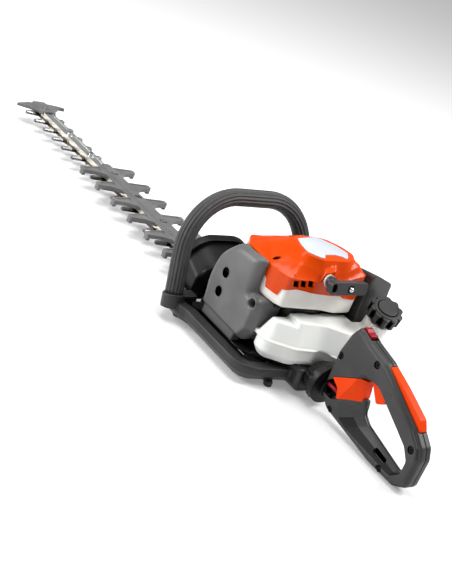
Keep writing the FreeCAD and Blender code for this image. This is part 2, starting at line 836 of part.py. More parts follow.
def flywheel():
    base = fan_base + 5
    disc = rod(fan_r, 3, V(0, 0, base))
    rim = ring(fan_r, fan_r - 4, 9, V(0, 0, base))
    hub = rod(14, 16, V(0, 0, base))
    blades = []
    for i in range(fan_blade_count):
        fin = box(18, fan_r - 3, -0.9, 0.9, base, base + 15)
        fin.rotate(V(0, 0, 0), V(0, 0, 1), 360.0 * i / fan_blade_count)
        blades.append(fin)
    body = union([disc, rim, hub] + blades)
    return body.cut(rod(journal_r, 40, V(0, 0, base - 1)))


def clutch_shoe(side):
    """Half of the centrifugal clutch: a shoe that slides out from its hub (side -1 front, +1 rear)."""
    z0 = drum_base + drum_wall + 1.5
    outer = drum_r - drum_wall - 1.2
    height = drum_h - drum_wall - 2.0
    shoe = ring(outer, 14, height, V(0, 0, z0))
    keep = box(1.5, outer, -outer, outer, z0, z0 + height)
    arms = box(7.5, 16, -5, 5, z0, z0 + height)
    shoe = shoe.fuse(arms).common(keep).cut(rod(journal_r + 1.2, height, V(0, 0, z0)))
    if side < 0:
        shoe = shoe.mirror(V(0, 0, 0), V(1, 0, 0))
    return shoe


def ignition_module():
    z0 = fan_base + 6
    inner = fan_r + 0.5
    block = box(-inner - 16, -inner + 3, -17, 17, z0, z0 + 12)
    legs = block.cut(rod(inner, 14, V(0, 0, z0 - 1)))
    foot = box(-inner - 16, -inner - 8, -10, 10, fan_base + wall, z0)
    return legs.fuse(foot)


def muffler():
    outline = [(-95, 61, 10), (-49, 61, 10), (-49, 115, 10), (-95, 115, 10)]
    body = prism(inset(outline, 3), "xz", -muffler_face, -fin_half - 6)
    seam = prism(outline, "xz", -62, -60)
    flange = box(port_x - 12, port_x + 12, -fin_half - 6, -fin_half - 2, crank_plane_z - 10,
                 crank_plane_z + 10)
    inside = prism(inset(outline, 5), "xz", -muffler_face + 2, -fin_half - 8)
    outlet = rod(5, 30, V(-80, -muffler_face + 14, 76), V(0, -1, 0))
    way_in = rod(port_r, 12, V(port_x, -fin_half - 10, crank_plane_z), V(0, 1, 0))
    return union([body, seam, flange]).cut(inside).cut(outlet).cut(way_in)


def carburettor():
    """The carburettor on its insulator block, with the socket of the purge bulb on its front."""
    root = fin_half + 2
    block = prism([(port_x - 20, 70, 3), (port_x + 20, 70, 3), (port_x + 20, 106, 3),
                   (port_x - 20, 106, 3)],
                  "xz", root + 8, root + 8 + carb_depth)
    insulator = box(port_x - 14, port_x + 14, root, root + 8, 76, 100)
    body = block.fuse(insulator)
    socket = ring(bulb_r + 2.5, bulb_r + 0.4, 13, V(port_x - 20, throttle_y(), crank_plane_z),
                  V(-1, 0, 0))
    bore = rod(intake_bore_r, carb_depth + 20, V(port_x, root - 5, crank_plane_z), V(0, 1, 0))
    shaft_hole = rod(2 + running_gap, 60, V(port_x, throttle_y(), 60))
    return body.fuse(socket).cut(bore).cut(shaft_hole)


def throttle_y():
    return fin_half + 10 + carb_depth / 2


def throttle_valve():
    shaft = rod(2, 46, V(port_x, throttle_y(), 67))
    disc = rod(intake_bore_r - 0.4, 1.2, V(port_x, throttle_y() - 0.6, crank_plane_z), V(0, 1, 0))
    lever = box(port_x - 3, port_x + 14, throttle_y() - 3, throttle_y() + 3, 109, 111)
    return union([shaft, disc, lever])


# ---------------------------------------------------------------- covers
def muffler_cover_outline():
    return [(-94, 46, 10), (-105, 90, 34), (-99, 136, 34), (-64, 174, 30), (-3, 177, 5),
            (-3, 121, 4), (26, 121, 8), (26, 70, 16), (12, 45, 14)]


def muffler_cover():
    outline = muffler_cover_outline()
    face = -muffler_cover_face
    shoulder = face + 12
    body = prism(outline, "xz", shoulder, -muffler_cover_root)
    body = body.fuse(taper(outline, shoulder, inset(outline, 9), face, "xz"))
    inner = inset(outline, wall)
    hollow = prism(inner, "xz", shoulder, -muffler_cover_root + 1)
    hollow = hollow.fuse(taper(inner, shoulder, inset(outline, 9 + wall), face + wall, "xz"))
    body = body.cut(hollow)
    lip = box(-88, -4, -94, -78, stud_top + tray_thick, stud_top + tray_thick + 14)
    lip = lip.cut(box(-85, -7, -91, -81, stud_top, stud_top + tray_thick + 15))
    body = body.fuse(lip.cut(prism(inset(outline, 1.0), "xz", shoulder, -muffler_cover_root)))
    starter_room = prism(inset(starter_outline(), -1.0), "xy", fan_base - 1, 220)
    body = body.cut(starter_room).cut(prism(inset(gearbox_outline(), -body_gap), "xy", 0,
                                            gearbox_top + body_gap))
    body = body.cut(box(20, 35, -84.5, -75.5, tank_seam_z - 4.5, tank_seam_z + 3.5))
    body = body.cut(box(23, 35, -84.5, -50, tank_seam_z - 1.7, tank_seam_z + 1.7))
    for x, z in ((-63, 118), (-63, 85)):
        vent = prism([(x - 3.8, z - 7, 3.7), (x + 3.8, z - 7, 3.7), (x + 3.8, z + 7, 3.7),
                      (x - 3.8, z + 7, 3.7)],
                     "xz", face - 1, face + 2 * wall + 1)
        body = body.cut(vent)
    pocket = rod(screw_head_d / 2 + 2.5, 14, V(cover_screw_x, face, cover_screw_z), V(0, 1, 0))
    cup = rod(screw_head_d / 2 + 5, 16, V(cover_screw_x, face + 2, cover_screw_z), V(0, 1, 0))
    inside = prism(outline, "xz", face, -muffler_cover_root)
    body = body.fuse(cup.common(inside)).cut(pocket)
    return body.cut(rod(screw_d / 2 + running_gap, 40, V(cover_screw_x, face, cover_screw_z), V(0, 1, 0)))




def starter_screw_places():
    return [(30.0, -65.5), (30.0, 61.0)]


def cover_screws():
    side = V(cover_screw_x, -muffler_cover_face + 14, cover_screw_z)
    screws = [pan_screw(screw_head_d, screw_head_h, screw_d, 46, side, V(0, -1, 0))]
    for x, y in starter_screw_places():
        seat = V(x, y, fan_base)
        screws.append(pan_screw(screw_head_d, screw_head_h, screw_d, fan_housing_h + 8, seat,
                                V(0, 0, -1)))
    return Part.makeCompound(screws)


def starter_outline():
    """Plan of the starter: the fan room, with a nose over the cylinder."""
    r = starter_half
    return [(starter_nose_x, -starter_nose_half, 12), (-42, -r, 40), (40, -r + 8, 12),
            (starter_rear - 5, -26, 60),
            (starter_rear, 28, 60), (starter_rear - 3, r - 15, 12), (-42, r - 7, 40),
            (starter_nose_x, starter_nose_half - 2, 12)]


def starter_roof():
    """Plan of the flat on top of the starter cover, corner for corner with the outline below."""
    return [(-34, -24, 10), (-20, -38, 14), (20, -42, 12), (38, -24, 12),
            (41, 26, 12), (28, 46, 12), (-16, 42, 14), (-34, 24, 10)]


def between(low, high, share):
    """An outline part of the way from one outline to another."""
    return [tuple(a + (b - a) * share for a, b in zip(p, q)) for p, q in zip(low, high)]


def fan_housing():
    outline = starter_outline()
    top = fan_base + fan_housing_h
    body = prism(outline, "xy", fan_base, top)
    body = body.cut(prism(inset(outline, wall), "xy", fan_base + wall, top + 1))
    body = body.cut(rod(journal_r + 2, wall + 2, V(0, 0, fan_base - 1)))
    duct = box(starter_nose_x + wall + 2, -fan_r - 21, -30, 30, fan_base - 1, fan_base + wall + 1)
    body = body.cut(duct)
    posts = [rod(screw_d, fan_housing_h, V(x, y, fan_base)) for x, y in starter_screw_places()]
    body = union([body] + posts)
    for x, y in starter_screw_places():
        body = body.cut(rod(screw_d / 2 + running_gap, fan_housing_h + 2, V(x, y, fan_base - 1)))
    return body


def starter_levels(offset):
    """The starter cover's outlines and heights, moved inwards by an offset."""
    outline = starter_outline()
    base = fan_base + fan_housing_h
    rise = cover_top_z - cover_rim_z
    steps = ((outline, base), (inset(outline, 1.5), cover_rim_z),
             (between(outline, starter_roof(), 0.42), cover_rim_z + rise * 0.62), (starter_roof(),
                                                                                   cover_top_z))
    return [(inset(level, offset), z) for level, z in steps]


def starter_dome(offset, drop):
    levels = starter_levels(offset)
    pieces = []
    for low, high in zip(levels[:-1], levels[1:]):
        z0 = low[1] - (drop if low is not levels[0] else 0)
        pieces.append(taper(low[0], z0, high[0], high[1] - drop, "xy"))
    return union(pieces)


def starter_cover():
    dome = starter_dome(0.0, 0.0)
    base = fan_base + fan_housing_h
    body = dome.cut(starter_dome(wall, wall))
    roof = cover_top_z - 1
    spring_top = pulley_z + pulley_h + 8
    stub = rod(pulley_bore_r() - running_gap, roof - pulley_z, V(0, 0, pulley_z))
    plug = rod(pulley_bore_r() + 8, roof - spring_top, V(0, 0, spring_top))
    boss = rod(13, 26, eyelet_centre() - pull_direction() * 24, pull_direction())
    posts = [rod(screw_d, 10, V(x, y, base)) for x, y in starter_screw_places()]
    body = union([body, stub, plug, boss] + posts)
    for i in range(vent_count):
        y = -68 + i * (vent_size + 4)
        body = body.cut(box(30, starter_rear + 2, y, y + vent_size, base + 14, base + 14 + vent_size))
    body = body.cut(rod(6 + running_gap, 60, eyelet_centre() - pull_direction() * 30, pull_direction()))
    for x, y in starter_screw_places():
        body = body.cut(rod(screw_d / 2 + running_gap, 9, V(x, y, base - 1)))
    return body


def pull_direction():
    tilt = math.radians(pull_tilt)
    return V(math.cos(tilt), 0, math.sin(tilt))


def eyelet_centre():
    return V(starter_rear - 1, eyelet_y, eyelet_z)


def rope_eyelet():
    axis = pull_direction()
    start = eyelet_centre() - axis * 8
    tube = ring(6 - running_gap, rope_r + 1.4, 12, start, axis)
    lip = ring(10.0, rope_r + 1.4, 2.5, start + axis * 10.2, axis)
    return tube.fuse(lip)


def pulley_bore_r():
    return 7.0


def starter_pulley():
    disc = rod(pulley_r, pulley_h, V(0, 0, pulley_z))
    groove = ring(pulley_r + 1, rope_groove_r, 5, V(0, 0, pulley_z + 2.5))
    bore = rod(pulley_bore_r() + running_gap, pulley_h + 10, V(0, 0, pulley_z - 5))
    return disc.cut(groove).cut(bore)


def rope_winding():
    return ring(pulley_r - 1.0, rope_groove_r + running_gap, 4.4, V(0, 0, pulley_z + 2.8))


def recoil_spring():
    z0 = pulley_z + pulley_h + 0.6
    return ring(pulley_r - 4, pulley_bore_r() + 1.5, 7.4, V(0, 0, z0))


def recoil_handle():
    """The pull grip behind the starter cover, with a stem that the rope enters near its left end."""
    low = -grip_bar_h / 2 + grip_drop
    high = grip_bar_h / 2 + grip_drop
    left = -grip_stem_y
    right = grip_bar_length - grip_stem_y
    bar = prism([(low, left, 6), (high, left, 6), (high, right, 4), (low, right, 4)], "xy", 0, grip_bar_t)
    stem = rod(8.5, 8, V(0, 0, -7))
    knot_room = rod(6.0, 7, knob_place() - V(0, 0, 5))
    end_hollow = prism([(-2, left + 2, 4), (11, left + 2, 4), (11, left + 10.5, 4), (-2, left + 10.5, 4)],
                       "xy", grip_bar_t - 7, grip_bar_t + 1)
    rope_hole = rod(rope_r + 0.4, 17, V(0, 0, -8))
    body = bar.fuse(stem).cut(knot_room).cut(end_hollow).cut(rope_hole)
    return on_pull(body)


def knob_place():
    return V(grip_drop + 1.0, knob_y, grip_bar_t)


def on_pull(body):
    """Turns a shape built along +Z into the rope's direction, at the grip."""
    body.rotate(V(0, 0, 0), V(0, 1, 0), 90 - pull_tilt)
    body.translate(grip_place())
    return body


def recoil_knob():
    """The polished steel knob that holds the rope's knot in the grip."""
    base = knob_place() - V(0, 0, 5)
    knob = Part.makeSphere(4.2, base + V(0, 0, 4.9))
    foot = rod(2.4, 2, base)
    return on_pull(knob.fuse(foot))


def grip_place():
    return eyelet_centre() + pull_direction() * 12.0


def recoil_rope():
    axis = pull_direction()
    return rod(rope_r, 28, eyelet_centre() - axis * 8, axis)


def filter_cover_outline(front):
    """The filter cover's section: lower and narrower at its front end."""
    drop = 38.0 if front else 0.0
    lean = 9.0 if front else 0.0
    root = filter_root + lean
    face = filter_face - lean
    return [(root, 76, 4), (face, 84, 10), (face + 2, 150 - drop * 0.6, 16), (face, 178 - drop, 8),
            (root + 12, 191 - drop, 8), (root, 194 - drop, 5)]


filter_front_x = -108.0
filter_rear_x = 62.0


def air_filter_cover():
    front = filter_cover_outline(True)
    rear = filter_cover_outline(False)
    body = taper(front, filter_front_x, rear, filter_rear_x, "yz")
    hollow = taper(inset(front, wall), filter_front_x + wall, inset(rear, wall), filter_rear_x - wall,
                   "yz")
    window = box(filter_front_x + 8, -30, filter_root - 1, filter_root + 16, 80, 118)
    inlet = rod(intake_bore_r + 2.5, 40, V(port_x, filter_root - 1, crank_plane_z), V(0, 1, 0))
    return body.cut(hollow).cut(window).cut(inlet).cut(choke_shaft(running_gap, 34))


def choke_shaft(extra, length):
    x, z = choke_place
    return rod(3 + extra, length, V(x, filter_face - 12, z), V(0, 1, 0))


def air_filter():
    inner_face = filter_root + 20
    outer_face = filter_face - 16
    frame = prism([(-98, 89, 4), (-20, 89, 4), (-20, 126, 8), (-98, 126, 8)], "xz", inner_face,
                  outer_face)
    inlet = rod(intake_bore_r + 2, 40, V(port_x, fin_half + 10 + carb_depth, crank_plane_z), V(0, 1, 0))
    duct = inlet.common(box(-110, -50, fin_half + 10 + carb_depth, inner_face, 60, 120))
    body = frame.fuse(duct)
    for k in range(9):
        x = -94 + k * 8
        body = body.cut(box(x, x + 3, outer_face - 6, outer_face + 1, 94, 122))
    bore = rod(intake_bore_r, 36, V(port_x, fin_half + 8 + carb_depth, crank_plane_z), V(0, 1, 0))
    keep_clear = rod(8, 60, V(choke_place[0], filter_root, choke_place[1]), V(0, 1, 0))
    return body.cut(bore).cut(keep_clear)


def choke_lever():
    x, z = choke_place
    face = filter_face - 1.5
    shaft = choke_shaft(0.0, 12)
    knob = rod(7, 5, V(x, face, z), V(0, 1, 0))
    arm = prism([(x - 3, z - 5, 2), (x + 26, z - 3, 2.9), (x + 26, z + 3, 2.9), (x - 3, z + 5, 2)],
                "xz", face, face + 4)
    return union([shaft, knob, arm])


def primer_bulb():
    """The purge bulb, which is pressed back into its socket on the carburettor."""
    mouth = V(port_x - 33, throttle_y(), crank_plane_z)
    axis = V(1, 0, 0)
    dome = Part.makeSphere(bulb_r, mouth).common(box(mouth.x - 20, mouth.x, 0, 120, 60, 120))
    return dome.fuse(rod(bulb_r, 7, mouth, axis)).cut(rod(bulb_r - 2, 8, mouth, axis))


# ---------------------------------------------------------------- fuel
def tank_outline():
    return [(27, -82, 8), (54, -84, 20), (80, -46, 32), (88, -6, 30), (112, 26, 24), (116, 60, 20),
            (114, 116, 18),
            (32, 119, 14), (32, 56, 10), (27, 20, 6)]


def tank_shape(offset):
    outline = tank_outline()
    mid_low = tank_base + 12
    mid_high = tank_seam_z + 4
    layers = [taper(inset(outline, 8 + offset), tank_base + offset, inset(outline, offset), mid_low,
                    "xy"),
              prism(inset(outline, offset), "xy", mid_low, mid_high),
              taper(inset(outline, offset), mid_high, inset(outline, 13 + offset), tank_top - offset,
                    "xy")]
    body = union(layers)
    return body.cut(box(0, 120, -100, -44 + offset, tank_top - 8 - offset, 200))


def tank_room(extra):
    """Space that the engine and the filter cover take out of the tank's block."""
    case_room = rod(crankcase_r + 4 + extra, 200, V(0, 0, 0))
    filter_room = box(-20, filter_rear_x + 3 + extra, filter_root - 8 - extra, 140, 70 - extra, 220)
    gap = body_gap + extra
    cup_room = box(chassis_rear - 16 - gap, 200, -cup_half - gap, cup_half + gap, 0, cup_top + gap)
    swivel_room = rod(swivel_r + 2.5 + extra, 200, V(chassis_rear + 6 - extra, 0, swivel_z), V(1, 0, 0))
    gearbox_room = prism(inset(gearbox_outline(), -gap), "xy", 0, gearbox_top + gap)
    return [case_room, filter_room, cup_room, swivel_room, gearbox_room]


def neck_axis():
    axis = V(*cap_axis)
    axis.normalize()
    return axis


def fuel_tank():
    body = tank_shape(0.0)
    seam_low = tank_seam_z - 1.2
    flange = prism(inset(tank_outline(), -2.5), "xy", seam_low, seam_low + 2.4)
    lug = box(20.5, 34, -84, -76, seam_low - 2.5, seam_low + 4)
    neck_start = V(*cap_centre) - neck_axis() * 46
    neck = rod(neck_r - 3, 46, neck_start, neck_axis())
    collar = rod(neck_r + 4, 26, neck_start + neck_axis() * 6, neck_axis())
    body = union([body, flange, lug, neck, collar])
    inner = tank_shape(tank_wall)
    for room, inner_room in zip(tank_room(0.0), tank_room(tank_wall)):
        body = body.cut(room)
        inner = inner.cut(inner_room)
    body = body.cut(inner)
    body = body.cut(rod(neck_r - 6, 60, neck_start - neck_axis() * 2, neck_axis()))
    pads = []
    for side in (-1, 1):
        pads.append(rod(5, tank_base + 3 - tray_top, V(tank_pad[0], side * tank_pad[1], tray_top)))
    return union([body] + pads)


def fuel_cap():
    axis = neck_axis()
    base = V(*cap_centre) - axis * (cap_h / 2)
    drum = Part.makeCylinder(cap_r - 2.0, cap_h)
    lobes = []
    for i in range(cap_lobes):
        angle = 2 * math.pi * i / cap_lobes
        lobes.append(Part.makeCylinder(6.0, cap_h - 3,
                                       V((cap_r - 3) * math.cos(angle), (cap_r - 3) * math.sin(angle),
                                         1.5)))
    disc = Part.makeCylinder(cap_r * 0.66, 2.0, V(0, 0, cap_h - 0.5))
    body = union([drum, disc] + lobes)
    pocket = Part.makeCylinder(neck_r - 3 + 0.3, cap_h - 5, V(0, 0, -1))
    body = body.cut(pocket)
    for i in range(cap_lobes):
        window = Part.makeBox(10, 7.0, 11, V(cap_r - 6.0, -3.5, 4.5))
        window.rotate(V(0, 0, 0), V(0, 0, 1), 360.0 * (i + 0.5) / cap_lobes)
        body = body.cut(window)
    turn = FreeCAD.Rotation(V(0, 0, 1), axis)
    body.Placement = FreeCAD.Placement(base, turn)
    return body


# ---------------------------------------------------------------- chassis and front handle
def chassis_outline():
    half = chassis_half
    return mirror_outline([(chassis_front, -half - 8, 14), (chassis_front + 40, -half - 8, 24),
                           (chassis_front + 62, -half, 24), (chassis_corner_x, -half,
                                                             38), (chassis_rear - 2, -20, 60)])


def lean_direction():
    lean = math.radians(handle_lean)
    return V(-math.sin(lean), 0, math.cos(lean))


def leg_base(side):
    return V(leg_x, side * leg_y, leg_z)


def chassis():
    outline = chassis_outline()
    level = chassis_base + rail_bevel
    body = taper(inset(outline, rail_bevel), chassis_base, outline, level, "xy")
    body = body.fuse(prism(outline, "xy", level, chassis_top))
    body = body.cut(prism(inset(outline, rail_width), "xy", 0, chassis_top + 1))
    body = body.cut(box(chassis_front - 1, chassis_front + rail_width + 9, -70, 70,
                        gearbox_base - body_gap, chassis_top + 1))
    lean = lean_direction()
    pan = prism(inset(outline, rail_width - 2), "xy", chassis_base, chassis_base + wall)
    parts = [pan.cut(prism(inset(gearbox_outline(), -0.6), "xy", 0, chassis_top))]
    for side in (-1, 1):
        parts.append(rod(socket_r, socket_high - socket_low, leg_base(side) + lean * socket_low, lean))
    for x, y in (front_mount, rear_mount):
        shelf = box(x - mount_r - 3, x + mount_r + 3, -chassis_half + rail_width - 3, -y + mount_r,
                    chassis_base, mount_base)
        parts.append(both_sides(shelf))
    cup = [(cup_half - 10, chassis_base, 10), (cup_half, 16, 12), (cup_half, cup_top, 5)]
    cup += [(-y, z, r) for y, z, r in reversed(cup)]
    cup_start = chassis_rear - 14
    cup_end = cup_start + cup_depth
    parts.append(prism(cup, "yz", cup_start, cup_end - 5))
    parts.append(taper(cup, cup_end - 5, inset(cup, 4.0), cup_end, "yz"))
    body = union([body] + parts)
    for side in (-1, 1):
        body = body.cut(rod(tube_r + running_gap, 60, leg_base(side) + lean * (socket_low + 3), lean))
    for x, y in (front_mount, rear_mount):
        for side in (-1, 1):
            body = body.cut(rod(screw_d / 2 + running_gap, 12, V(x, side * y, chassis_base - 1)))
    for x, y in gearbox_screw_places():
        body = body.cut(rod(screw_head_d / 2 + 1, chassis_top, V(x, y, 0)))
    body = body.cut(rod(8, 60, V(chassis_rear - 30, 0, 26), V(1, 0, 0)))
    feet = []
    for side in (-1, 1):
        feet.append(rod(foot_r, chassis_base + 4, V(chassis_rear - 14, side * 56, 0)))
        feet.append(rod(foot_r, chassis_base + 4, V(chassis_front + 26, side * 104, 0)))
    return union([body] + feet)


def handle_path(z_extra, radius):
    """The front handle's tube along its arch, with both ends z_extra above the leg bases."""
    flat = leg_y - handle_corner_r
    straight = handle_rise - handle_corner_r
    lean = lean_direction()

    def place(y, s):
        return leg_base(1) - V(0, leg_y, 0) + V(0, y, 0) + lean * s

    solids = []
    for side in (-1, 1):
        solids.append(rod(radius, straight - z_extra, place(side * leg_y, z_extra), lean))
    solids.append(rod(radius, 2 * flat, place(-flat, handle_rise), V(0, 1, 0)))
    normal = lean.cross(V(0, 1, 0))
    for side in (-1, 1):
        centre = place(side * flat, straight)
        torus = Part.makeTorus(handle_corner_r, radius, centre, normal)
        reach = handle_corner_r + radius + 1
        quarter = Part.makeBox(reach, reach, 2 * radius + 2, V(0, 0, -radius - 1))
        x_dir = V(0, side, 0)
        y_dir = lean
        z_dir = x_dir.cross(y_dir)
        matrix = FreeCAD.Matrix(x_dir.x, y_dir.x, z_dir.x, centre.x, x_dir.y, y_dir.y, z_dir.y, centre.y,
                                x_dir.z, y_dir.z, z_dir.z, centre.z, 0, 0, 0, 1)
        quarter.Placement = FreeCAD.Placement(matrix)
        solids.append(torus.common(quarter))
    return union(solids)


def front_handle_tube():
    low = socket_low + 4
    return handle_path(low, tube_r).cut(handle_path(low - 1, tube_r - 2))


def front_handle_grip():
    low = socket_high + 0.3
    return handle_path(low, grip_r).cut(handle_path(low - 1, tube_r + running_gap))


def hand_shield():
    """A raised arch with a hollow dome behind it that closes down to the gearbox and the frame."""
    half = shield_half
    outer = [(-half, shield_base, 8), (half, shield_base, 8), (half - 4, 76, 24),
             (40, shield_top, 60), (-40, shield_top, 60), (-half + 4, 76, 24)]
    reach = chassis_front - body_gap
    rear = [(-half - 6, 14, 8), (half + 6, 14, 8), (half + 2, 60, 24), (40, 92, 50), (-40, 92, 50),
            (-half - 2, 60, 24)]
    hull = taper(outer, shield_x, rear, reach, "yz")
    hollow = taper(inset(outer, wall), shield_x + wall, inset(rear, wall), reach + 1, "yz")
    arch = hull.cut(hollow).cut(box(shield_x + 16, reach + 5, -120, 120, 34, 140))
    front = inset(outer, 9)
    back = inset(rear, 9)
    dome = taper(front, shield_x + 1, back, reach, "yz")
    dome = dome.cut(taper(inset(front, wall), shield_x + 1 + wall, inset(back, wall), reach - wall, "yz"))
    panel = [(-30, 60, 8), (-62, 44, 6), (-58, 72, 16), (-34, 80, 20), (34, 80, 20), (58, 72, 16),
             (62, 44, 6), (30, 60, 8)]
    tail_x = cylinder_front - 34
    tongue = box(tail_x - 20, tail_x + 30, -30, 30, gearbox_top, gearbox_top + wall)
    side = guard_plate_half + 3
    passage = box(shield_x - 1, gearbox_front - 0.3, -side, side, 0, bar_top + guard_spine_h + 1)
    tooth_end = last_tooth_x + tooth_root / 2 + eccentric + 3
    passage = passage.fuse(box(shield_x - 1, tooth_end, -tooth_reach - 2, tooth_reach + 2, 0,
                               bar_base + 4))
    nose_room = box(gearbox_front - 0.4, reach + 40, -gearbox_half, gearbox_half, 0, gearbox_top)
    raised = prism(panel, "yz", reach - wall, reach - 0.1 + 3).cut(nose_room)
    return union([arch, dome, raised, tongue]).cut(passage).cut(nose_room)


def engine_tray():
    """The black pan round the gearbox that closes the engine's underside and carries its side covers."""
    outline = mirror_outline([(-124, -70, 10), (-96, -90, 14), (10, -92, 26), (40, -72, 14),
                              (52, -50, 8)])
    low = stud_top
    plate = prism(outline, "xy", low, low + tray_thick)
    rim = prism(outline, "xy", low, low + tray_thick + 5).cut(prism(inset(outline, 2.5), "xy", low - 1,
                                                                    low + 20))
    wall_side = box(-100, 18, filter_root + 12, filter_root + 15, low, 77)
    shelf = box(-100, 18, filter_root + 12, filter_root + 24, 73, 76)
    rim = rim.cut(box(-124, 30, -96, -76, low, low + 20))
    body = union([plate, rim, wall_side, shelf])
    return body.cut(prism(inset(gearbox_outline(), -0.3), "xy", low - 1, low + 20))


def antivibration_mounts():
    mounts = []
    for x, y in (front_mount, rear_mount):
        for side in (-1, 1):
            base = V(x, side * y, mount_base)
            body = rod(mount_r, mount_h, base)
            groove = ring(mount_r + 1, mount_r - 3, mount_h * 0.4, base + V(0, 0, mount_h * 0.3))
            stud = rod(screw_d / 2, mount_h + 12, base - V(0, 0, 6))
            mounts.append(body.cut(groove).fuse(stud))
    return Part.makeCompound(mounts)


# ---------------------------------------------------------------- swivel and rear handle
def swivel_housing():
    x_axis = V(1, 0, 0)
    start = V(chassis_rear + 16, 0, swivel_z)
    cone_end = V(chassis_rear + 34, 0, swivel_z)
    end = chassis_rear + swivel_length + 4
    cone = Part.makeCone(swivel_neck_r, swivel_r - 1.5, cone_end.x - start.x, start, x_axis)
    collar = rod(swivel_r, end - cone_end.x, cone_end, x_axis)
    room = rod(swivel_r - 6, end - wall - cone_end.x + 1, cone_end - x_axis, x_axis)
    ribs = []
    for i in range(swivel_ribs):
        rib = polygon_prism([(start.x + 2, swivel_neck_r), (start.x + 2, swivel_neck_r + 2.4),
                             (cone_end.x + 3, swivel_r + 1.4), (cone_end.x + 3,
                                                                swivel_r - 4)], "xz", -1.5, 1.5)
        rib.translate(V(0, 0, swivel_z))
        rib.rotate(V(0, 0, swivel_z), x_axis, 360.0 * i / swivel_ribs)
        ribs.append(rib)
    spigot = rod(spigot_r, body_gap + handle_wall + 1.0 + wall, V(end - wall, 0, swivel_z), x_axis)
    flange = rod(spigot_flange_r, 3, V(end + body_gap + handle_wall + body_gap, 0, swivel_z), x_axis)
    body = union([cone, collar.cut(room)] + ribs + [spigot, flange])
    return body.cut(rod(spigot_r - 4, swivel_length + 30, V(chassis_rear, 0, swivel_z), x_axis))


def handle_outline():
    x = handle_front
    return [(x, 34, 12), (x, 104, 20), (x + 8, 138, 20), (x + 20, 158, 7), (x + 48, 149, 20),
            (x + 88, 141, 30),
            (x + 180, 96, 20), (x + 202, 79, 12), (x + 209, 62, 10), (x + 208, 16, 12), (x + 184, 2, 16),
            (x + 128, 2, 30), (x + 22, 16, 14)]


def window_outline():
    """The hand opening where it is smallest, in the middle of the handle's thickness."""
    x = handle_front
    return [(x + 72, 101, 8), (x + 94, 100, 12), (x + 174, 61, 10), (x + 188, 48, 6), (x + 188, 30, 5),
            (x + 178, 23, 8), (x + 99, 41, 10), (x + 84, 50, 10), (x + 74, 70, 8)]


def window_mouth():
    """The hand opening where it meets the flanks, corner for corner with the opening inside."""
    x = handle_front
    return [(x + 60, 106, 12), (x + 96, 107, 14), (x + 177, 66, 10), (x + 191, 50, 8), (x + 191, 28, 6),
            (x + 176, 13, 10), (x + 70, 17, 14), (x + 52, 21, 10), (x + 40, 48, 12)]


def handle_block(shrink, half):
    """The whole handle as a solid ring with rounded flanks, shrunk all round."""
    outer = inset(handle_outline(), shrink)
    hole = inset(window_outline(), -shrink)
    mouth = inset(window_mouth(), -shrink)
    flat = half - handle_edge
    body = prism(outer, "xz", -flat, flat)
    for side in (-1, 1):
        body = body.fuse(taper(outer, side * flat, inset(outer, handle_edge * 0.8), side * half, "xz"))
    body = body.cut(prism(hole, "xz", -4, 4))
    for side in (-1, 1):
        body = body.cut(taper(hole, side * 3.9, mouth, side * (half + 0.01), "xz"))
    return body


def latch_outline():
    x = handle_front
    return [(x + 13, 66.5, 1.5), (x + 60, 95.9, 4), (x + 84, 97.5, 2), (x + 84, 73.6, 2),
            (x + 35, 43, 1.5), (x + 30, 58, 9)]


def latch_direction():
    angle = math.radians(latch_angle)
    return V(math.cos(angle), 0, math.sin(angle))


def trigger_pivot():
    return V(handle_front + 86, 0, 119)


def lockout_pivot():
    return V(handle_front + 104, 0, 122)


def switch_centre():
    return V(handle_front + 30, 0, 152)


def shell_screw_places():
    x = handle_front
    return [(x + 10, 102), (x + 77, 131), (x + 33, 22), (x + 190, 69), (x + 156, 9)]


def rear_handle_shell(side):
    """One half of the rear handle (side -1 left, +1 right)."""
    solid = handle_block(0.0, handle_half)
    inner = handle_block(handle_wall, handle_half - handle_wall)
    shell = solid.cut(inner)
    y_axis = V(0, 1, 0)
    extras = []
    for x, z in shell_screw_places():
        extras.append(rod(screw_d / 2 + 4.6, 2 * handle_half, V(x, -handle_half, z),
                          y_axis).common(solid))
    extras.append(rod(26, handle_wall, V(handle_front, 0, swivel_z), V(1, 0, 0)).common(solid))
    extras.append(latch_core().common(solid))
    for pivot in (trigger_pivot(), lockout_pivot()):
        post = rod(6, 2 * handle_half - 4, pivot - V(0, handle_half - 2, 0), y_axis)
        extras.append(post.cut(box(0, 400, -lever_half - body_gap, lever_half + body_gap, 0,
                                   200)).common(solid))
    shell = union([shell] + extras)
    shell = shell.cut(rod(spigot_r + running_gap * 2, handle_wall + 2, V(handle_front - 1, 0, swivel_z),
                          V(1, 0, 0)))
    for pivot in (trigger_pivot(), lockout_pivot()):
        shell = shell.cut(rod(3 + running_gap, 2 * handle_half - 8, pivot - V(0, handle_half - 4, 0),
                              y_axis))
    for room in (trigger_slot(), lockout_slot(), switch_slot(), latch_room(), spigot_room()):
        shell = shell.cut(room)
    for x, z in shell_screw_places():
        shell = shell.cut(rod(screw_d / 2 + running_gap, 2 * handle_half - 5, V(x, -handle_half, z),
                              y_axis))
        shell = shell.cut(rod(screw_head_d / 2 + 1.2, screw_head_h + 3, V(x, -handle_half - 2, z),
                              y_axis))
    half_space = box(handle_front - 20, handle_front + 260, 0, 60, -20, 240)
    if side < 0:
        half_space = mirrored(half_space)
    return shell.common(half_space)


def spigot_room():
    reach = body_gap * 2 + 3.0
    return rod(spigot_flange_r + 1.0, reach + 1.0, V(handle_front + handle_wall, 0, swivel_z), V(1, 0, 0))


def latch_core():
    """The web inside the stem that the latch slides on."""
    x = handle_front
    return polygon_prism([(x + 14, 34), (x + 50, 34), (x + 60, 66), (x + 62, 104), (x + 14, 104)], "xz",
                         -7.0, 7.0)


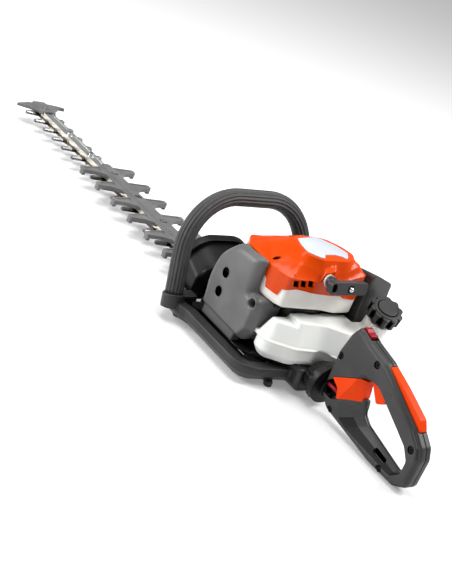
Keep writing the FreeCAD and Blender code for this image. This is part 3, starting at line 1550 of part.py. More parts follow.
def trigger_slot():
    p = trigger_pivot()
    half = lever_half + body_gap
    return box(p.x - 18, p.x + 36, -half, half, 60, p.z + 8)


def lockout_outline():
    x = handle_front
    return [(x + 92, 128, 3), (x + 91, 141, 4), (x + 128, 128.5, 24), (x + 176, 108.5, 6),
            (x + 186, 94, 5),
            (x + 174, 84.5, 5), (x + 148, 104, 24)]


def lockout_slot():
    """The room that the lever sweeps when its rear end is pressed."""
    half = lever_half + 1.2 + body_gap
    base = prism(inset(lockout_outline(), -body_gap), "xz", -half, half)
    steps = []
    for k in range(5):
        swept = base.copy()
        swept.rotate(lockout_pivot(), V(0, 1, 0), (lockout_press + 0.5) * k / 4)
        steps.append(swept)
    deep = polygon_prism([(handle_front + 94, 112), (handle_front + 94, 132), (handle_front + 118, 126),
                          (handle_front + 118, 112)], "xz", -half, half)
    return union(steps + [deep])


def switch_slot():
    c = switch_centre()
    return box(c.x - 12, c.x + 12, -6.8, 6.8, c.z - 14, c.z + 16)


def latch_room():
    x = handle_front
    band = prism(inset(latch_outline(), -body_gap), "xz", -40, 40)
    rooms = []
    for k in range(6):
        moved = band.copy()
        moved.translate(latch_direction() * (latch_travel * k / 5))
        rooms.append(moved)
    window = prism([(x + 6, 37, 3), (x + 6, 56, 3), (x + 17, 66, 2), (x + 31, 60, 2), (x + 38, 44, 2),
                    (x + 24, 36, 3)],
                   "xz", -40, -7.2)
    pin_way = rod(latch_pin_r + body_gap, 60, V(x + handle_wall + 1, -pin_y, pin_z), V(1, 0, 0))
    pin_rise = pin_way.copy()
    pin_rise.translate(V(0, 0, latch_travel * math.sin(math.radians(latch_angle))))
    outer = union(rooms + [pin_way, pin_rise])
    return outer.cut(latch_core()).fuse(window)


def rear_handle_screws():
    screws = []
    for x, z in shell_screw_places():
        seat = V(x, -handle_half + screw_head_h + 1.0, z)
        screws.append(pan_screw(screw_head_d, screw_head_h - 1, screw_d, 2 * handle_half - 10, seat,
                                V(0, -1, 0)))
    return Part.makeCompound(screws)


def throttle_trigger():
    p = trigger_pivot()
    finger = prism([(p.x - 10, p.z - 2, 4), (p.x - 15, p.z - 15, 5), (p.x + 10, p.z - 42, 4),
                    (p.x + 24, p.z - 33, 4),
                    (p.x + 22, p.z - 20, 6), (p.x + 12, p.z - 12, 6), (p.x + 5, p.z - 4, 2)],
                   "xz", -lever_half, lever_half)
    hub = rod(7, 2 * lever_half, p - V(0, lever_half, 0), V(0, 1, 0))
    trunnions = rod(3, 2 * (handle_half - 5), p - V(0, handle_half - 5, 0), V(0, 1, 0))
    return union([finger, hub, trunnions])


def throttle_lockout():
    p = lockout_pivot()
    half = lever_half + 1.2
    lever = prism(lockout_outline(), "xz", -half, half)
    hub = rod(7, 2 * lever_half, p - V(0, lever_half, 0), V(0, 1, 0))
    web = box(p.x - 6, p.x + 6, -lever_half, lever_half, p.z, p.z + 10)
    trunnions = rod(3, 2 * (handle_half - 5), p - V(0, handle_half - 5, 0), V(0, 1, 0))
    return union([lever, hub, web, trunnions])


def stop_switch():
    c = switch_centre()
    return prism([(c.x - 7, c.z - 10, 2), (c.x + 7, c.z - 12, 2), (c.x + 10, c.z - 2, 2),
                  (c.x + 10, c.z + 3, 2),
                  (c.x + 2, c.z + 3, 4), (c.x - 4, c.z + 7, 3), (c.x - 10, c.z + 6, 3), (c.x - 10, c.z,
                                                                                         2)],
                 "xz", -6.4, 6.4)


def handle_latch():
    """The orange band that unlocks the swivel, with the lock pin it carries."""
    x = handle_front
    band = prism(latch_outline(), "xz", -handle_half, handle_half).common(handle_block(0.0, handle_half))
    core_room = box(0, x + 62 + body_gap, -7.0 - body_gap, 7.0 + body_gap, 0, 200)
    band = band.cut(core_room).cut(trigger_slot())
    pin_start = x + handle_wall + 3 + 3 * body_gap
    pin = rod(latch_pin_r, 36, V(pin_start, -pin_y, pin_z), V(1, 0, 0))
    pin = pin.cut(box(0, 400, -7.0 - body_gap, 20, 0, 200))
    return band.fuse(pin)


# ---------------------------------------------------------------- export
nodes = {
    "guide_bar": guide_bar,
    "upper_blade": lambda: blade(upper_blade_z),
    "lower_blade": lambda: blade(lower_blade_z),
    "blade_bolts": blade_bolts,
    "tip_guard": tip_guard,
    "blade_guard": blade_guard,
    "gearbox_housing": gearbox_housing,
    "gearbox_cover": gearbox_cover,
    "gearbox_screws": gearbox_screws,
    "gearbox_bearings": gearbox_bearings,
    "drive_gear": drive_gear,
    "upper_strap": upper_strap,
    "lower_strap": lower_strap,
    "clutch_drum": clutch_drum,
    "crankcase": crankcase,
    "crank_bearings": crank_bearings,
    "crankshaft": crankshaft,
    "connecting_rod": connecting_rod,
    "piston": piston,
    "cylinder": cylinder,
    "spark_plug": spark_plug,
    "spark_plug_boot": spark_plug_boot,
    "flywheel": flywheel,
    "clutch_shoe_front": lambda: clutch_shoe(-1),
    "clutch_shoe_rear": lambda: clutch_shoe(1),
    "ignition_module": ignition_module,
    "muffler": muffler,
    "carburettor": carburettor,
    "throttle_valve": throttle_valve,
    "muffler_cover": muffler_cover,
    "cover_screws": cover_screws,
    "fan_housing": fan_housing,
    "starter_cover": starter_cover,
    "rope_eyelet": rope_eyelet,
    "starter_pulley": starter_pulley,
    "rope_winding": rope_winding,
    "recoil_spring": recoil_spring,
    "recoil_handle": recoil_handle,
    "recoil_knob": recoil_knob,
    "recoil_rope": recoil_rope,
    "air_filter_cover": air_filter_cover,
    "air_filter": air_filter,
    "choke_lever": choke_lever,
    "primer_bulb": primer_bulb,
    "fuel_tank": fuel_tank,
    "fuel_cap": fuel_cap,
    "chassis": chassis,
    "front_handle_tube": front_handle_tube,
    "front_handle_grip": front_handle_grip,
    "hand_shield": hand_shield,
    "engine_tray": engine_tray,
    "antivibration_mounts": antivibration_mounts,
    "swivel_housing": swivel_housing,
    "rear_handle_left": lambda: rear_handle_shell(-1),
    "rear_handle_right": lambda: rear_handle_shell(1),
    "rear_handle_screws": rear_handle_screws,
    "throttle_trigger": throttle_trigger,
    "throttle_lockout": throttle_lockout,
    "stop_switch": stop_switch,
    "handle_latch": handle_latch,
}

os.makedirs("parts", exist_ok=True)
for name, make in nodes.items():
    shape = make()
    shape.exportStep("parts/" + name + ".step")
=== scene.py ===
import bmesh
import bpy
import math
import numpy as np
from mathutils import Matrix, Vector


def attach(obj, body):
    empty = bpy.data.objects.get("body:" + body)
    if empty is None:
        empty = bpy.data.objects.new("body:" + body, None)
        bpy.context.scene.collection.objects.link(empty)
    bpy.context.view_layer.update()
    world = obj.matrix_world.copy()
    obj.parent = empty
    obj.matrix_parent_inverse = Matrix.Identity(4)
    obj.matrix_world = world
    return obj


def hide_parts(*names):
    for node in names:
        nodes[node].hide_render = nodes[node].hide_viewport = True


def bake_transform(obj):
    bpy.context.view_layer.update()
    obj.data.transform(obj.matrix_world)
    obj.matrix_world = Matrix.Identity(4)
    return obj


# Petrol hedge trimmer.  Metres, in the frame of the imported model: +X back to the rear handle,
# +Y to the machine's right, +Z up, with the ground at Z = 0.

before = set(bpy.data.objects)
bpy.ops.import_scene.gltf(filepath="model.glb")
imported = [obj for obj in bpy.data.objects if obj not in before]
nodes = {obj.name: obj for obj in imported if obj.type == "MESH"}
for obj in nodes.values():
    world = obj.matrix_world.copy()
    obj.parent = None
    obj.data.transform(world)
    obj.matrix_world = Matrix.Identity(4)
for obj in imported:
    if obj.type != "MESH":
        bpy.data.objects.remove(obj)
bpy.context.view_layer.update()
MM = 0.001
WHITE = (1.0, 1.0, 1.0, 1.0)
BLACK = (0.0, 0.0, 0.0, 1.0)


# ---------------------------------------------------------------- materials
def linear(hex_colour):
    """An sRGB hex colour as linear RGBA."""
    parts = [int(hex_colour[i:i + 2], 16) / 255 for i in (1, 3, 5)]
    return tuple(c / 12.92 if c <= 0.04045 else ((c + 0.055) / 1.055) ** 2.4 for c in parts) + (1.0,)


def add_node(tree, kind, links=(), **settings):
    """Adds a node, sets its inputs or properties, and links (input, source socket) pairs."""
    node = tree.nodes.new("ShaderNode" + kind)
    for key, value in settings.items():
        if key in node.inputs:
            node.inputs[key].default_value = value
        else:
            setattr(node, key, value)
    for socket, source in links:
        tree.links.new(source, node.inputs[socket])
    return node


def new_material(name):
    """A material with its shader and the object's coordinates."""
    material = bpy.data.materials.new(name)
    material.use_nodes = True
    tree = material.node_tree
    tree.nodes.clear()
    shader = add_node(tree, "BsdfPrincipled")
    output = add_node(tree, "OutputMaterial", [("Surface", shader.outputs["BSDF"])])
    place = add_node(tree, "TexCoord").outputs["Object"]
    return material, tree, shader, output, place


def noise(tree, place, size_mm, detail=3.0, rough=0.5, stretch=(1, 1, 1)):
    """Noise whose features are size_mm across, optionally stretched along an axis."""
    spread = add_node(tree, "Mapping", [("Vector", place)])
    spread.inputs["Scale"].default_value = stretch
    return add_node(tree, "TexNoise", [("Vector", spread.outputs["Vector"])],
                    Scale=1.0 / (size_mm * MM), Detail=detail, Roughness=rough)


def ramp(tree, source, stops):
    """A colour ramp through (position, colour) stops."""
    node = add_node(tree, "ValToRGB", [("Fac", source)])
    elements = node.color_ramp.elements
    while len(elements) < len(stops):
        elements.new(0.5)
    for element, (position, colour) in zip(elements, stops):
        element.position = position
        element.color = colour
    return node.outputs["Color"]


def value_range(tree, source, low, high):
    """A 0 to 1 value spread from low to high."""
    node = add_node(tree, "MapRange", [("Value", source)])
    node.inputs["To Min"].default_value = low
    node.inputs["To Max"].default_value = high
    return node.outputs["Result"]


def bump(tree, height, depth_mm):
    """A normal from a height pattern depth_mm deep."""
    node = add_node(tree, "Bump", [("Height", height)], Distance=depth_mm * MM, Strength=1.0)
    return node.outputs["Normal"]


def relief(tree, shader, pattern, low, high, depth_mm):
    """Roughness from low to high and a bump depth_mm deep, both from one noise."""
    height = pattern.outputs["Fac"]
    tree.links.new(value_range(tree, height, low, high), shader.inputs["Roughness"])
    tree.links.new(bump(tree, height, depth_mm), shader.inputs["Normal"])


def two_tone(tree, pattern, low, first, high, second):
    """One colour up to a noise value of low, another from high, blended between them."""
    return ramp(tree, pattern.outputs["Fac"], [(low, linear(first)), (high, linear(second))])


def moulded_plastic(name, base, worn, roughness, grain_mm, grain_depth_mm, specular=0.4):
    """Injection-moulded plastic: a spark-eroded grain, slow tone changes, and paler handled edges."""
    material, tree, shader, output, place = new_material(name)
    tone = noise(tree, place, 38, 2.0)
    grain = noise(tree, place, grain_mm, 4.0, 0.6)
    edges = add_node(tree, "NewGeometry").outputs["Pointiness"]
    edge_wear = ramp(tree, edges, [(0.50, BLACK), (0.58, WHITE)])
    plain = two_tone(tree, tone, 0.32, base, 0.70, worn)
    wear = value_range(tree, edge_wear, 0.0, 0.35)
    mix = add_node(tree, "Mix", [("Factor", wear), (6, plain)], data_type="RGBA")
    mix.inputs[7].default_value = linear(worn)
    tree.links.new(mix.outputs[2], shader.inputs["Base Color"])
    relief(tree, shader, grain, roughness - 0.06, roughness + 0.08, grain_depth_mm)
    shader.inputs["IOR"].default_value = 1.5
    shader.inputs["Specular IOR Level"].default_value = specular
    return material


def turned_metal(name, base, dark, roughness, line_mm, stretch, depth_mm=0.004, spots=None):
    """Steel or aluminium with fine tool or grinding lines along one axis."""
    material, tree, shader, output, place = new_material(name)
    lines = noise(tree, place, line_mm, 3.0, 0.6, stretch)
    cloud = noise(tree, place, 22, 3.0)
    colour = two_tone(tree, cloud, 0.30, dark, 0.62, base)
    if spots:
        speck = noise(tree, place, 3.5, 5.0, 0.7)
        mask = ramp(tree, speck.outputs["Fac"], [(0.66, BLACK), (0.74, WHITE)])
        mix = add_node(tree, "Mix", [("Factor", mask), (6, colour)], data_type="RGBA")
        mix.inputs[7].default_value = linear(spots)
        colour = mix.outputs[2]
    tree.links.new(colour, shader.inputs["Base Color"])
    relief(tree, shader, lines, roughness - 0.05, roughness + 0.10, depth_mm)
    shader.inputs["Metallic"].default_value = 1.0
    return material


def ground_steel(name, top, side, roughness, line_mm, stretch, shaded_spine_half_mm=None):
    """Steel plate with grinding lines and painted light: faces turned up take the top colour and the others
    the side colour, as lamps would light them; on a blade the spine beside the bar is painted dark as shade.
    """
    material, tree, shader, output, place = new_material(name)
    lines = noise(tree, place, line_mm, 3.0, 0.6, stretch)
    cloud = noise(tree, place, 22, 3.0)
    facing = add_node(tree, "TexCoord").outputs["Normal"]
    up = add_node(tree, "SeparateXYZ", [("Vector", facing)]).outputs["Z"]
    # Painted light: faces turned up take the top colour, the others the side colour.
    mask = ramp(tree, up, [(0.40, BLACK), (0.70, WHITE)])
    # Painted shade: on a blade the spine beside the bar takes the dark side colour.
    if shaded_spine_half_mm:
        across = add_node(tree, "SeparateXYZ", [("Vector", place)]).outputs["Y"]
        away = add_node(tree, "Math", [(0, across)], operation="ABSOLUTE").outputs["Value"]
        edge = add_node(tree, "MapRange", [("Value", away)])
        edge.inputs["From Min"].default_value = (shaded_spine_half_mm - 1.0) * MM
        edge.inputs["From Max"].default_value = (shaded_spine_half_mm + 1.0) * MM
        both = add_node(tree, "Math", [(0, mask), (1, edge.outputs["Result"])], operation="MULTIPLY")
        mask = both.outputs["Value"]
    top_painted_light = two_tone(tree, cloud, 0.30, top[1], 0.62, top[0])
    side_painted_light = two_tone(tree, cloud, 0.30, side[1], 0.62, side[0])
    mix = add_node(tree, "Mix", [("Factor", mask), (6, side_painted_light), (7, top_painted_light)], data_type="RGBA")
    tree.links.new(mix.outputs[2], shader.inputs["Base Color"])
    relief(tree, shader, lines, roughness - 0.05, roughness + 0.10, 0.006)
    shader.inputs["Metallic"].default_value = 1.0
    return material


def rubber(name, base, dusty, grain_mm):
    """Moulded EPDM rubber: matt, with a fine talc bloom."""
    material, tree, shader, output, place = new_material(name)
    bloom = noise(tree, place, 16, 4.0, 0.6)
    grain = noise(tree, place, grain_mm, 3.0, 0.6)
    tree.links.new(two_tone(tree, bloom, 0.35, base, 0.72, dusty), shader.inputs["Base Color"])
    relief(tree, shader, grain, 0.48, 0.66, 0.06)
    shader.inputs["IOR"].default_value = 1.5
    return material


def blown_polyethylene(name, base, deep):
    """Natural blow-moulded polyethylene: milky, with light spreading inside it and a soft orange peel."""
    material, tree, shader, output, place = new_material(name)
    cloud = noise(tree, place, 45, 3.0)
    peel = noise(tree, place, 5, 2.0)
    tree.links.new(two_tone(tree, cloud, 0.30, deep, 0.70, base), shader.inputs["Base Color"])
    relief(tree, shader, peel, 0.36, 0.46, 0.10)
    shader.inputs["IOR"].default_value = 1.54
    shader.inputs["Subsurface Weight"].default_value = 0.3
    shader.inputs["Subsurface Radius"].default_value = (1.0, 1.0, 0.9)
    shader.inputs["Subsurface Scale"].default_value = 0.006
    return material


def braided_rope(name, base, shade):
    """Nylon starter rope: a two-way braid with strands 1 mm wide."""
    material, tree, shader, output, place = new_material(name)
    strands = []
    for slope in (1, -1):
        turn = add_node(tree, "Mapping", [("Vector", place)])
        turn.inputs["Rotation"].default_value = (0, 0, slope * math.radians(40))
        wave = add_node(tree, "TexWave", [("Vector", turn.outputs["Vector"])], Scale=300.0, Distortion=0.4)
        strands.append(wave.outputs["Fac"])
    weave = add_node(tree, "Math", [(0, strands[0]), (1, strands[1])], operation="MAXIMUM").outputs["Value"]
    colour = ramp(tree, weave, [(0.2, linear(shade)), (0.8, linear(base))])
    tree.links.new(colour, shader.inputs["Base Color"])
    tree.links.new(bump(tree, weave, 0.25), shader.inputs["Normal"])
    shader.inputs["Roughness"].default_value = 0.75
    return material


def filter_felt(name, base, dust):
    """Flocked filter felt with caught dust."""
    material, tree, shader, output, place = new_material(name)
    fibres = noise(tree, place, 0.8, 6.0, 0.75)
    dirt = noise(tree, place, 9, 4.0)
    tree.links.new(two_tone(tree, dirt, 0.3, base, 0.7, dust), shader.inputs["Base Color"])
    tree.links.new(bump(tree, fibres.outputs["Fac"], 0.4), shader.inputs["Normal"])
    shader.inputs["Roughness"].default_value = 0.95
    return material


# Glass-filled nylon: charcoal with a fine spark-eroded grain, drawn about 1 mm wide so that it shows.
NYLON_HANDLE = moulded_plastic("glass_filled_nylon_spark_grained", "#2a2a2a", "#343434", 0.42, 0.9, 0.05,
                               0.35)
NYLON_FRAME = moulded_plastic("glass_filled_nylon_frame", "#262626", "#303030", 0.40, 1.0, 0.05, 0.35)
NYLON_BLACK = moulded_plastic("nylon_black_moulded", "#101010", "#191919", 0.42, 1.0, 0.04, 0.2)
NYLON_PAN = moulded_plastic("nylon_engine_pan_moulded", "#131313", "#1c1c1c", 0.44, 1.0, 0.04, 0.2)
NYLON_GUARD = moulded_plastic("nylon_blade_guard_moulded", "#5c5c5c", "#6e6e6e", 0.46, 0.9, 0.05)
# The hand opening keeps the deeper grain of the tool's slides and is painted near black as the shade that
# falls in it; deep pockets return almost no light.
NYLON_OPENING_SHADE = moulded_plastic("glass_filled_nylon_deep_grained_painted_shade", "#0b0b0b", "#131313", 0.56, 1.2, 0.12, 0.2)
# Painted shade: near black for deep pockets and windows; the rear handle's seam takes it too as a dark joint.
NYLON_RECESS = moulded_plastic("nylon_recess_painted_shade_and_seam", "#060606", "#0b0b0b", 0.60, 1.0, 0.04, 0.05)
# Polyamide: a satin face with a barely visible grain, mid grey, charcoal or near white.
POLYAMIDE_COVER = moulded_plastic("polyamide_cover_satin_moulded", "#565656", "#626262", 0.42, 0.7, 0.03)
POLYAMIDE_FILTER = moulded_plastic("polyamide_filter_cover_moulded", "#343434", "#404040", 0.38, 0.7, 0.03)
POLYAMIDE_PALE = moulded_plastic("polyamide_pale_grey_moulded", "#e6e2dc", "#efece7", 0.44, 1.0, 0.04)
# ABS moulded in a polished tool: smooth and saturated, with a gloss of its own.
ABS_ORANGE = moulded_plastic("abs_orange_polished_mould", "#d03e00", "#d24400", 0.20, 1.6, 0.012, 0.20)
ABS_TRIGGER = moulded_plastic("abs_orange_trigger_moulded", "#de3a00", "#e04000", 0.34, 1.2, 0.02, 0.12)
ABS_RED = moulded_plastic("abs_red_switch_moulded", "#860818", "#920e1e", 0.34, 1.2, 0.02, 0.20)
# A bare polyester label with a satin face, and an acetal eyelet that the rope has polished.
LABEL_BLANK = moulded_plastic("polyester_label_blank_satin", "#b4b9c4", "#bec3cc", 0.34, 1.5, 0.006, 0.3)
EYELET_PLASTIC = moulded_plastic("acetal_eyelet_polished", "#b9b0aa", "#cfc8c3", 0.24, 1.5, 0.008, 0.5)
# Rubber: matt and dull, grey on the grip, near black on the mounts, amber and milky on the bulb.
GRIP_RUBBER = rubber("epdm_grip_moulded", "#303030", "#3c3c3c", 0.8)
BLACK_RUBBER = rubber("nitrile_rubber_moulded", "#161616", "#242424", 0.8)
BULB_RUBBER = rubber("clear_nitrile_bulb", "#b9b096", "#c9c2aa", 1.2)
TANK_PLASTIC = blown_polyethylene("polyethylene_blow_moulded_natural", "#fafcf7", "#f0f4ee")
# Tool steel with grinding lines across the teeth, and a bar rolled along its length; lines 0.5 mm apart. Both
# carry painted light in their top and side colours, and the blade's spine beside the bar is painted dark as
# shade.
BLADE_STEEL = ground_steel("tool_steel_ground_teeth", ("#f4f5f5", "#c9cdcf"), ("#57534f", "#34312e"),
                           0.24, 0.5, (6, 1, 1), shaded_spine_half_mm=17.0)
BAR_STEEL = ground_steel("stainless_bar_satin_rolled", ("#e4eaed", "#ccd3d6"), ("#f2ebdf", "#d9d0c2"),
                         0.34, 0.6, (1, 8, 8))
# Turned and hobbed metals: fine tool lines that draw the highlight out along them.
SCREW_STEEL = turned_metal("steel_screw_zinc_plated", "#d0d2d4", "#9a9da1", 0.28, 0.5, (1, 1, 6))
SCREW_BLACK = turned_metal("steel_screw_black_oxide", "#2a2a2c", "#18181a", 0.36, 0.5, (1, 1, 6))
GEAR_STEEL = turned_metal("alloy_steel_hobbed_oiled", "#9c9fa3", "#74777b", 0.30, 0.6, (1, 1, 8))
BRASS = turned_metal("brass_turned", "#c9a45a", "#94763a", 0.30, 0.6, (1, 1, 6))
CHROME = turned_metal("steel_ball_chrome_plated", "#e6e8ea", "#c9ccd0", 0.12, 2.0, (1, 1, 1), 0.002)
# Cast aluminium is dull and pitted, and the muffler's steel is browned by its heat.
CAST_ALUMINIUM = turned_metal("aluminium_die_cast", "#83807c", "#55534f", 0.50, 1.6, (1, 1, 1), 0.08,
                              "#4a4742")
MUFFLER_STEEL = turned_metal("muffler_steel_heat_tinted", "#8a7562", "#4f4a4a", 0.42, 1.4, (1, 1, 1), 0.05,
                             "#3a3431")
# Paint and powder coat: an even black skin with a faint orange peel.
GEARBOX_CASTING = moulded_plastic("magnesium_casting_black_painted", "#101010", "#1a1a1a", 0.48, 1.4, 0.08,
                                  0.2)
PAINTED_TUBE = moulded_plastic("steel_tube_powder_coated", "#1c1c1c", "#282828", 0.42, 1.3, 0.05)
CERAMIC = moulded_plastic("alumina_ceramic_glazed", "#e6e4de", "#f0eee9", 0.18, 2.0, 0.006, 0.6)
ROPE = braided_rope("nylon_rope_braided", "#d8d4c8", "#8f8a7c")
FELT = filter_felt("polyester_felt_flocked", "#4d463a", "#6b6252")


# ---------------------------------------------------------------- mesh helpers
def link(obj):
    bpy.context.scene.collection.objects.link(obj)
    return obj


def paint(obj, material):
    obj.data.materials.clear()
    obj.data.materials.append(material)
    return obj


def baked(obj):
    """The object with its modifiers worked into its mesh."""
    bpy.context.view_layer.update()
    graph = bpy.context.evaluated_depsgraph_get()
    mesh = bpy.data.meshes.new_from_object(obj.evaluated_get(graph))
    obj.modifiers.clear()
    obj.data = mesh
    return obj


def fit(obj, body, material, slot, *replaced):
    """Finishes a piece: its material, its body and the CAD nodes that it stands for; the slot is not used."""
    paint(obj, material)
    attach(obj, body)
    if replaced:
        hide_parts(*replaced)
    return obj


def welded_copy(node, name):
    """A copy of a node's mesh with its split corners joined."""
    mesh = nodes[node].data.copy()
    work = bmesh.new()
    work.from_mesh(mesh)
    bmesh.ops.remove_doubles(work, verts=work.verts, dist=2e-6)
    work.to_mesh(mesh)
    work.free()
    mesh.materials.clear()
    return link(bpy.data.objects.new(name, mesh))


def moulded_copy(node, voxel_mm, passes):
    """The CAD shape with the soft radii of a moulding on all its edges."""
    obj = welded_copy(node, node + "_moulding")
    skin = obj.modifiers.new("skin", "REMESH")
    skin.mode = "VOXEL"
    skin.voxel_size = voxel_mm * MM
    skin.use_smooth_shade = True
    soften = obj.modifiers.new("soften", "SMOOTH")
    soften.iterations = passes
    return baked(obj)


def mesh_object(name, points, faces, smooth=True):
    """A new piece from points in metres and faces."""
    mesh = bpy.data.meshes.new(name)
    mesh.from_pydata([tuple(p) for p in points], [], faces)
    mesh.validate()
    obj = link(bpy.data.objects.new(name, mesh))
    if smooth:
        mesh.shade_smooth()
    return obj


def recoloured(obj, *regions):
    """Gives faces another material where a region's test of (centre in millimetres, normal) holds."""
    for index, (material, chosen) in enumerate(regions, 1):
        obj.data.materials.append(material)
        for face in obj.data.polygons:
            if chosen(face.center / MM, face.normal):
                face.material_index = index
    return obj


def outward(obj):
    """Turns every face to the outside."""
    work = bmesh.new()
    work.from_mesh(obj.data)
    bmesh.ops.recalc_face_normals(work, faces=work.faces)
    work.to_mesh(obj.data)
    work.free()
    return obj


def loft(name, rings, closed_ends=True, loop_rings=False):
    """A skin over rings of equal length."""
    count = len(rings[0])
    points = [p for r in rings for p in r]
    faces = []
    steps = len(rings) if loop_rings else len(rings) - 1
    for i in range(steps):
        a = i * count
        b = ((i + 1) % len(rings)) * count
        for k in range(count):
            n = (k + 1) % count
            faces.append((a + k, a + n, b + n, b + k))
    if closed_ends and not loop_rings:
        faces.append(tuple(reversed(range(count))))
        last = (len(rings) - 1) * count
        faces.append(tuple(range(last, last + count)))
    return outward(mesh_object(name, points, faces))


def round_angles(count):
    """Equal steps once round, from 0."""
    return [math.tau * k / count for k in range(count)]


def rounded_plan(corners):
    """Points round an outline of (x, y, radius) corners, one for each 9 degrees of an arc."""
    points = []
    count = len(corners)
    for i, (x, y, radius) in enumerate(corners):
        here = Vector((x, y))
        back = Vector(corners[i - 1][:2]) - here
        ahead = Vector(corners[(i + 1) % count][:2]) - here
        back_length = back.length
        ahead_length = ahead.length
        back.normalize()
        ahead.normalize()
        half = back.angle(ahead) / 2
        reach = min(radius / math.tan(half), back_length * 0.48, ahead_length * 0.48)
        radius = reach * math.tan(half)
        centre = here + (back + ahead).normalized() * (radius / math.sin(half))
        start = here + back * reach - centre
        turn = math.pi - 2 * half
        side = 1 if back.x * ahead.y - back.y * ahead.x < 0 else -1
        steps = max(1, int(math.degrees(turn) / 9))
        for k in range(steps + 1):
            a = side * turn * k / steps
            points.append(centre + Vector((start.x * math.cos(a) - start.y * math.sin(a),
                                           start.x * math.sin(a) + start.y * math.cos(a))))
    return points


def crowned(obj, corners, flank_mm, radius_mm):
    """Rolls the flanks at y = -flank_mm and flank_mm over into the outline of (x, z, radius) corners."""
    outline = np.array([tuple(point) for point in rounded_plan(corners)])
    ahead = np.roll(outline, -1, axis=0)
    area = np.sum(outline[:, 0] * ahead[:, 1] - outline[:, 1] * ahead[:, 0])
    count = len(obj.data.vertices)
    flat = np.empty(count * 3)
    obj.data.vertices.foreach_get("co", flat)
    points = flat.reshape(-1, 3) / MM
    spots = points[:, [0, 2]]
    best = np.full(count, 1e9)
    nearest = np.zeros((count, 2))
    inward = np.zeros((count, 2))
    for a, b in zip(outline, ahead):
        run = b - a
        length = np.dot(run, run)
        if length < 1e-9:
            continue
        share = np.clip((spots - a) @ run / length, 0, 1)
        foot = a + share[:, None] * run
        distance = np.linalg.norm(spots - foot, axis=1)
        closer = distance < best
        best[closer] = distance[closer]
        nearest[closer] = foot[closer]
        inward[closer] = np.array([-run[1], run[0]]) * np.sign(area) / np.sqrt(length)
    away = spots - nearest
    side = np.sign(np.sum(away * inward, axis=1))
    clear = best > 0.3
    inward[clear] = (away * side[:, None] / best[:, None])[clear]
    depth = np.where(side > 0, best, 0.0)
    out = np.abs(points[:, 1])
    u = radius_mm - depth
    v = out - (flank_mm - radius_mm)
    rolled = (u > 0) & (v > 0)
    scale = np.where(rolled, np.maximum(u, v) / np.maximum(np.hypot(u, v), 1e-6), 1.0)
    moved = nearest + inward * (radius_mm - u * scale)[:, None]
    spots = np.where(rolled[:, None], moved, spots)
    height = np.where(rolled, flank_mm - radius_mm + v * scale, out)
    points[:, 1] = np.where(rolled, height * np.sign(points[:, 1]), points[:, 1])
    points[:, 0] = spots[:, 0]
    points[:, 2] = spots[:, 1]
    obj.data.vertices.foreach_set("co", (points * MM).ravel())
    obj.data.update()
    return obj


# ---------------------------------------------------------------- front handle
# The arch stands on two legs, leans forward by 15 degrees and has its rubber on the upper part.
LEG_FOOT = Vector((-124, 0, 25)) * MM
LEG_Y = 124 * MM
HANDLE_RISE = 175 * MM
CORNER_R = 92 * MM
LEAN = Vector((-math.sin(math.radians(15)), 0, math.cos(math.radians(15))))
SIDE = Vector((0, 1, 0))
INSIDE = LEAN.cross(SIDE).normalized()
GRIP_START_MM = 17.5
GRIP_R = 14.4
RIB_DEPTH = 2.6
RIB_STEP_DEG = 24
RIB_MIDDLE_DEG = 40
RIB_SPAN_DEG = 96


def arch_path(start_mm):
    """Points and directions along the front handle's arch, from the left leg to the right leg."""
    straight = HANDLE_RISE - CORNER_R
    flat = LEG_Y - CORNER_R
    start = start_mm * MM
    path = []
    for k in range(9):
        s = start + (straight - start) * k / 8
        path.append((LEG_FOOT - SIDE * LEG_Y + LEAN * s, LEAN))
    for k in range(1, 17):
        angle = math.radians(90 * k / 16)
        centre = LEG_FOOT - SIDE * flat + LEAN * straight
        point = centre - SIDE * CORNER_R * math.cos(angle) + LEAN * CORNER_R * math.sin(angle)
        path.append((point, LEAN * math.cos(angle) + SIDE * math.sin(angle)))
    half = path[:]
    for point, direction in reversed(half):
        mirror = Vector((point.x, -point.y, point.z))
        path.append((mirror, Vector((-direction.x, direction.y, -direction.z))))
    return path


def grip_section(angle):
    """The grip's radius in millimetres round its section; 0 degrees points to the inside of the arch."""
    turned = (math.degrees(angle) + 180) % 360 - 180 - RIB_MIDDLE_DEG
    radius = GRIP_R
    if abs(turned) < RIB_SPAN_DEG:
        radius -= RIB_DEPTH * max(0.0, abs(math.sin(turned / RIB_STEP_DEG * math.pi)) - 0.45)
    return radius * MM


def front_grip():
    """The rubber grip, with moulded ribs along its inner and rear side."""
    rings = []
    for point, direction in arch_path(GRIP_START_MM):
        across = direction.cross(INSIDE).normalized()
        rings.append([point + (across * math.cos(angle) - INSIDE * math.sin(angle)) * grip_section(angle)
                      for angle in round_angles(144)])
    grip = loft("front_handle_grip_rubber", rings)
    return fit(grip, "machine", GRIP_RUBBER, "grip_rubber", "front_handle_grip")


# ---------------------------------------------------------------- starter cover and fan housing
EYELET = Vector((56, -14, 179))
PULL = Vector((math.cos(math.radians(12)), 0, math.sin(math.radians(12))))
GRIP_UP = Vector((-PULL.z, 0, PULL.x))
EYELET_HOLE_R = 7.5

STARTER_CENTRE = Vector((5, 5))
STARTER_PLAN = [(-87, -58, 14), (-60, -79, 14), (10, -79, 60), (41, -70, 8), (53.5, -28, 60),
                (57, 28, 60), (55, 66, 9), (-42, 72, 30), (-87, 54, 14)]
ROOF_PLAN = [(-33, -12, 12), (-31, 22, 14), (-24, 36, 12), (-5, 50, 30), (20, 56.5, 14), (37, 44, 12),
             (43, 26, 10), (42, -22, 8), (25, -43, 14), (-2, -39, 40), (-26, -32, 10)]
STARTER_STEPS = 168
ROOF_EDGE_Z = 203.8
ROOF_DOME = 1.4
RIM_ROLL = 1.6
COVER_WALL = 2.4
BOSS_START = Vector((24, 2))
BOSS_END = Vector((57, -14))

